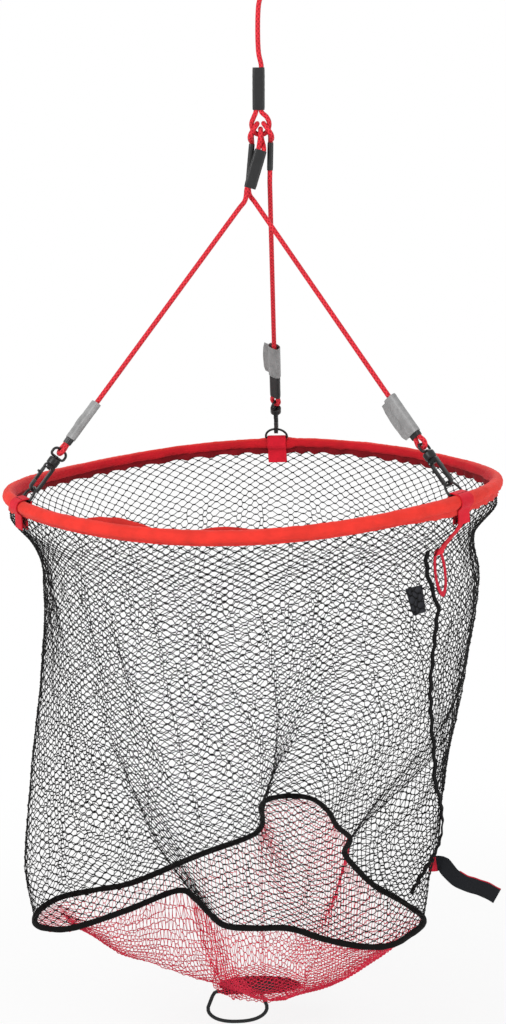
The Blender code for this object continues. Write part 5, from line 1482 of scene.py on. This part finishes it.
def build_hanging_tab():
    """The narrow red tab from the hem to the oval ring."""
    spine, widths = [], []
    for s in shares_of(8):
        angle = SIDE_ANGLE + PATCH_TURN + 1.1 - 1.6 * s
        share = -0.012 + 0.085 * s
        inside = max(0.0, share)
        normal = np.array(compass(angle)) if share < 0.0 else wall_normal(angle, inside)
        along = round_wall(angle, inside)
        along /= np.linalg.norm(along)
        spine.append(wall_at(angle, share) + normal * 2.2 * MM)
        widths.append(along * (5.0 + 2.2 * s * s) * MM)
    piece = strip("oval_tab", spine, widths, 1.3 * MM, TAB)
    finish_piece(piece, "net", "red_fabric", "oval_patch")


def build_label():
    """The bare dark label sewn inside the net by its edge, narrower at its foot."""
    placing = badge_placing(SIDE_ANGLE + LABEL_TURN, LABEL_SHARE, -2.3 * MM)
    grid = []
    for i in range(15):
        s = i / 14
        y = LABEL_HEIGHT * (0.5 - s)
        right = LABEL_WIDTH / 2 * (1 - 0.10 * s)
        left = -LABEL_WIDTH / 2 * (1 - 0.34 * s)
        front, back = [], []
        for j in range(13):
            x = left + (right - left) * j / 12
            lift = 0.35 * MM * ripple((x * 60, y * 60, 0), 1.0)
            edge = 0.25 * MM if j in (0, 12) or i in (0, 14) else 0.55 * MM
            front.append((x, y, lift + edge))
            back.append((x, y, lift - edge))
        grid.append(place_all(placing, front + back[::-1]))
    piece = loft("side_tag", grid, LABEL, sharp=60)
    finish_piece(piece, "net", "label_grey", "side_label")


build_oval()
build_hanging_tab()
build_label()


def build_strap():
    """The closing strap, sewn at one end and bent where it leaves the tape, with a red edge."""
    places = [Vector(v.co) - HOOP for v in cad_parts["closing_strap"].data.vertices]
    end = sum(sorted(places, key=lambda p: -p.dot(ACROSS))[:4], Vector()) / 4
    angle = tape_angle(STRAP_SHARE)
    normal = Vector(wall_normal(angle, STRAP_SHARE))
    # the root stays on the tape, and the run turns about it to end where the CAD strap ends
    root = Vector(wall_at(angle, STRAP_SHARE)) + normal * (TAPE_TOP + STRAP_ROOT_GAP)
    run = [from_photo(across, -near, up) for across, near, up in STRAP_RUN]
    wanted, drawn = end - root, run[-1]
    turn = math.atan2(wanted.y, wanted.x) - math.atan2(drawn.y, drawn.x)
    run = [Matrix.Rotation(turn, 3, "Z") @ step for step in run]
    steps = [root + p for p in [Vector(), normal * 4 * MM] + run]
    fine = [Vector(p) for p in open_curve(steps, 3.0 * MM)]
    widths = []
    for i in range(len(fine)):
        ahead = (fine[min(i + 1, len(fine) - 1)] - fine[max(i - 1, 0)]).normalized()
        swell = 1 + 0.02 * math.sin(i * 0.9)
        widths.append((UP - ahead * UP.dot(ahead)).normalized() * STRAP_HALF_WIDTH_MM * MM * swell)
    piece = strip("strap_web", fine, widths, STRAP_THICKNESS, STRAP)
    finish_piece(piece, "strap", "black_webbing", "closing_strap")
    far = len(fine) * 2 // 5
    edge = [p + w * 0.985 for p, w in zip(fine[far:], widths[far:])]
    binding = tube("strap_binding", edge, 0.95 * MM, STRAP_EDGE, sides=8)
    finish_piece(binding, "strap", "red_fabric", "closing_strap")
    wider = [w * 1.04 for w in widths[:4]]
    facing = strip("strap_turn", fine[:4], wider, 2.3 * MM, STRAP_EDGE)
    finish_piece(facing, "strap", "red_fabric", "closing_strap")


build_strap()

# ---------------------------------------------------------------- base patch, keeper and handle


def build_base_patch():
    """The dark patch under the floor net."""
    low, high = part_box("base_patch")
    low, high = low - HOOP, high - HOOP
    middle = (low + high) / 2
    grid = []
    for part, rise in ((0.0, 0.6), (0.35, 0.8), (0.7, 0.95), (0.93, 1.0), (0.985, 0.7), (1.0, 0.0),
                       (0.985, -0.7), (0.93, -0.95), (0.5, -0.95), (0.0, -0.9)):
        reach = max(part, 0.012)
        ring = []
        for c, s in circle(72):
            ragged = 1 + 0.006 * ripple((c * 2, s * 2, 0), 2.0)
            x = middle.x + BASE_PATCH_LENGTH / 2 * reach * c * ragged
            y = middle.y + BASE_PATCH_WIDTH / 2 * reach * s * ragged
            wave = 0.12 * MM * ripple((x * 40, y * 40, 0), 1.0)
            ring.append((x, y, middle.z + rise * MM + wave))
        grid.append(ring)
    piece = loft("patch_cloth", grid, PATCH, sharp=60)
    finish_piece(piece, "net", "black_webbing", "base_patch")


def handle_placing():
    """The middle of the handle's bar, from its CAD solid: X down, Z along the bar."""
    low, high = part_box("base_handle")
    low, high = low - HOOP, high - HOOP
    return axes(Vector((*HANDLE_CENTRE, high.z - HANDLE_WIRE / 2)), -UP, ACROSS)


def build_keeper():
    """The webbing keeper wrapped round the handle's bar and sewn up to the patch."""
    placing = handle_placing()
    inner = HANDLE_WIRE / 2 + SEAT_GAP
    half = KEEPER_HALF
    grid = []
    for z in (-half, -half + 0.5 * MM, -half / 2, 0.0, half / 2, half - 0.5 * MM, half):
        outer = inner + KEEPER_WALL - (0.35 * MM if abs(z) == half else 0.0)
        ring = []
        for c, s in circle(28):
            radius = outer + 0.10 * MM * ripple((c * 2, s * 2, z * 60), 1.5)
            ring.append((radius * c, radius * s, z))
        grid.append(place_all(placing, ring))
    for z in (half, 0.0, -half):
        grid.append(place_all(placing, [(inner * c, inner * s, z) for c, s in circle(28)]))
    piece = loft("keeper_loop", grid, STRAP, closed_u=True, sharp=50)
    finish_piece(piece, "net", "black_webbing", "handle_keeper")


def build_handle():
    """The flat webbing handle that hangs from the keeper."""
    placing = handle_placing()
    top = HANDLE_TOP_WIDTH / 2
    side = HANDLE_WIDTH / 2
    held = HANDLE_HELD
    flare = [(top + (side - top) * s, HANDLE_SHOULDER * s) for s in (0.25, 0.5, 0.75, 0.95)]
    corner = [(top - 3 * MM, 0.0), (top - 0.6 * MM, 1.2 * MM)]
    outline = [(-held, 0.0), (0.0, 0.0), (held, 0.0)] + corner + flare
    for k in range(1, 20):
        turn = math.pi * k / 20
        wide = math.copysign(abs(math.cos(turn)) ** 0.85, math.cos(turn))
        down = HANDLE_SHOULDER + (HANDLE_HEIGHT - HANDLE_SHOULDER) * math.sin(turn) ** 0.9
        outline.append((side * wide, down))
    outline += [(-across, down) for across, down in flare[::-1] + corner[::-1]]
    points = place_all(placing, [(down, 0.0, across) for across, down in outline])
    # round in the keeper, flat webbing everywhere else
    away = [math.hypot(max(0.0, abs(across) - held), down) for across, down in outline]
    share = np.clip(np.array(away) / (6 * MM), 0, 1)
    thick = HANDLE_WIRE / 2 * (0.95 - 0.25 * share)
    half = HANDLE_WIRE / 2 * (0.95 + 0.1 * share)
    piece = tube("handle_strap", points, thick, HANDLE, sides=16, closed=True,
                 first=tuple(placing.to_3x3() @ Vector((0, 1, 0))), flat=half / thick)
    finish_piece(piece, "handle", "black_webbing", "base_handle")


build_base_patch()
build_keeper()
build_handle()

for name in ("hoop_wire", "hoop_ferrule", "gate_pin_rear", "gate_pin_left", "gate_pin_right"):
    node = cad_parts[name]
    node.data.materials.clear()
    node.data.materials.append(STEEL)

# ---------------------------------------------------------------- floor, light and background

WHITE = (1.0, 1.0, 1.0)
FLOOR_COLOUR = (0.86, 0.86, 0.86)
FLOOR_RADIUS = 9.0
FLOOR_DROP = 0.012
# The floor's glow grows between these distances from its middle
FADE = {"From Min": 0.25, "From Max": 1.1, "To Min": 0.80, "To Max": 1.0}
WORLD_LIGHT = 0.55
LAMPS = (("key", (-1.6, -2.2, 1.5), 1.6, 55.0), ("fill", (2.2, -1.6, 0.3), 1.8, 26.0),
         ("back", (0.4, 2.2, 1.6), 1.6, 22.0))


def empty_nodes(owner):
    """An empty node tree, and a value that is 1 for what the camera, gloss or glass sees."""
    n = Nodes(owner)
    n.tree.nodes.clear()
    path = n.add("ShaderNodeLightPath").outputs
    seen = n.math("MAXIMUM", path["Is Camera Ray"], path["Is Glossy Ray"])
    return n, n.math("MAXIMUM", seen, path["Is Transmission Ray"])


def mixed_output(n, kind, amount, lit, white):
    """Join two shaders to the tree's output, mixed by an amount."""
    mix = n.add("ShaderNodeMixShader", {0: amount, 1: lit.outputs[0], 2: white.outputs[0]})
    n.add(kind, {"Surface": mix.outputs[0]})


def build_stage():
    """A plain white floor that keeps a soft shadow, and soft light from all round."""
    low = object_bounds()[0]
    bpy.ops.mesh.primitive_circle_add(vertices=96, radius=FLOOR_RADIUS, fill_type="NGON",
                                      location=(HOOP.x, HOOP.y, low[2] - FLOOR_DROP))
    floor = bpy.context.object
    floor.name = "floor"
    material = bpy.data.materials.new("floor_white")
    n, seen = empty_nodes(material)
    plain = n.add("ShaderNodeBsdfDiffuse", {"Color": FLOOR_COLOUR})
    glow = n.add("ShaderNodeEmission", {"Color": WHITE, "Strength": 1.0})
    size = n.add("ShaderNodeVectorMath", {0: n.coords("Object")}, operation="LENGTH")
    fade = n.add("ShaderNodeMapRange", {**FADE, "Value": size.outputs["Value"]})
    mixed_output(n, "ShaderNodeOutputMaterial", n.times(seen, fade.outputs["Result"]), plain, glow)
    floor.data.materials.append(material)

    world = bpy.data.worlds.new("studio")
    bpy.context.scene.world = world
    n, seen = empty_nodes(world)
    lit = n.add("ShaderNodeBackground", {"Color": WHITE, "Strength": WORLD_LIGHT})
    white = n.add("ShaderNodeBackground", {"Color": WHITE, "Strength": 1.0})
    mixed_output(n, "ShaderNodeOutputWorld", seen, lit, white)
    for lamp in LAMPS:
        add_lamp(*lamp)


def add_lamp(name, place, size, power):
    """A soft square lamp turned to the net's middle."""
    lamp = bpy.data.lights.new(name, "AREA")
    lamp.size = size
    lamp.energy = power
    holder = link_object(name, lamp)
    spot = Vector(place) + HOOP
    aim = HOOP - UP * 0.25 - spot
    holder.rotation_euler = aim.to_track_quat("-Z", "Y").to_euler()
    holder.location = spot


build_stage()
bpy.context.scene.view_settings.view_transform = "Standard"
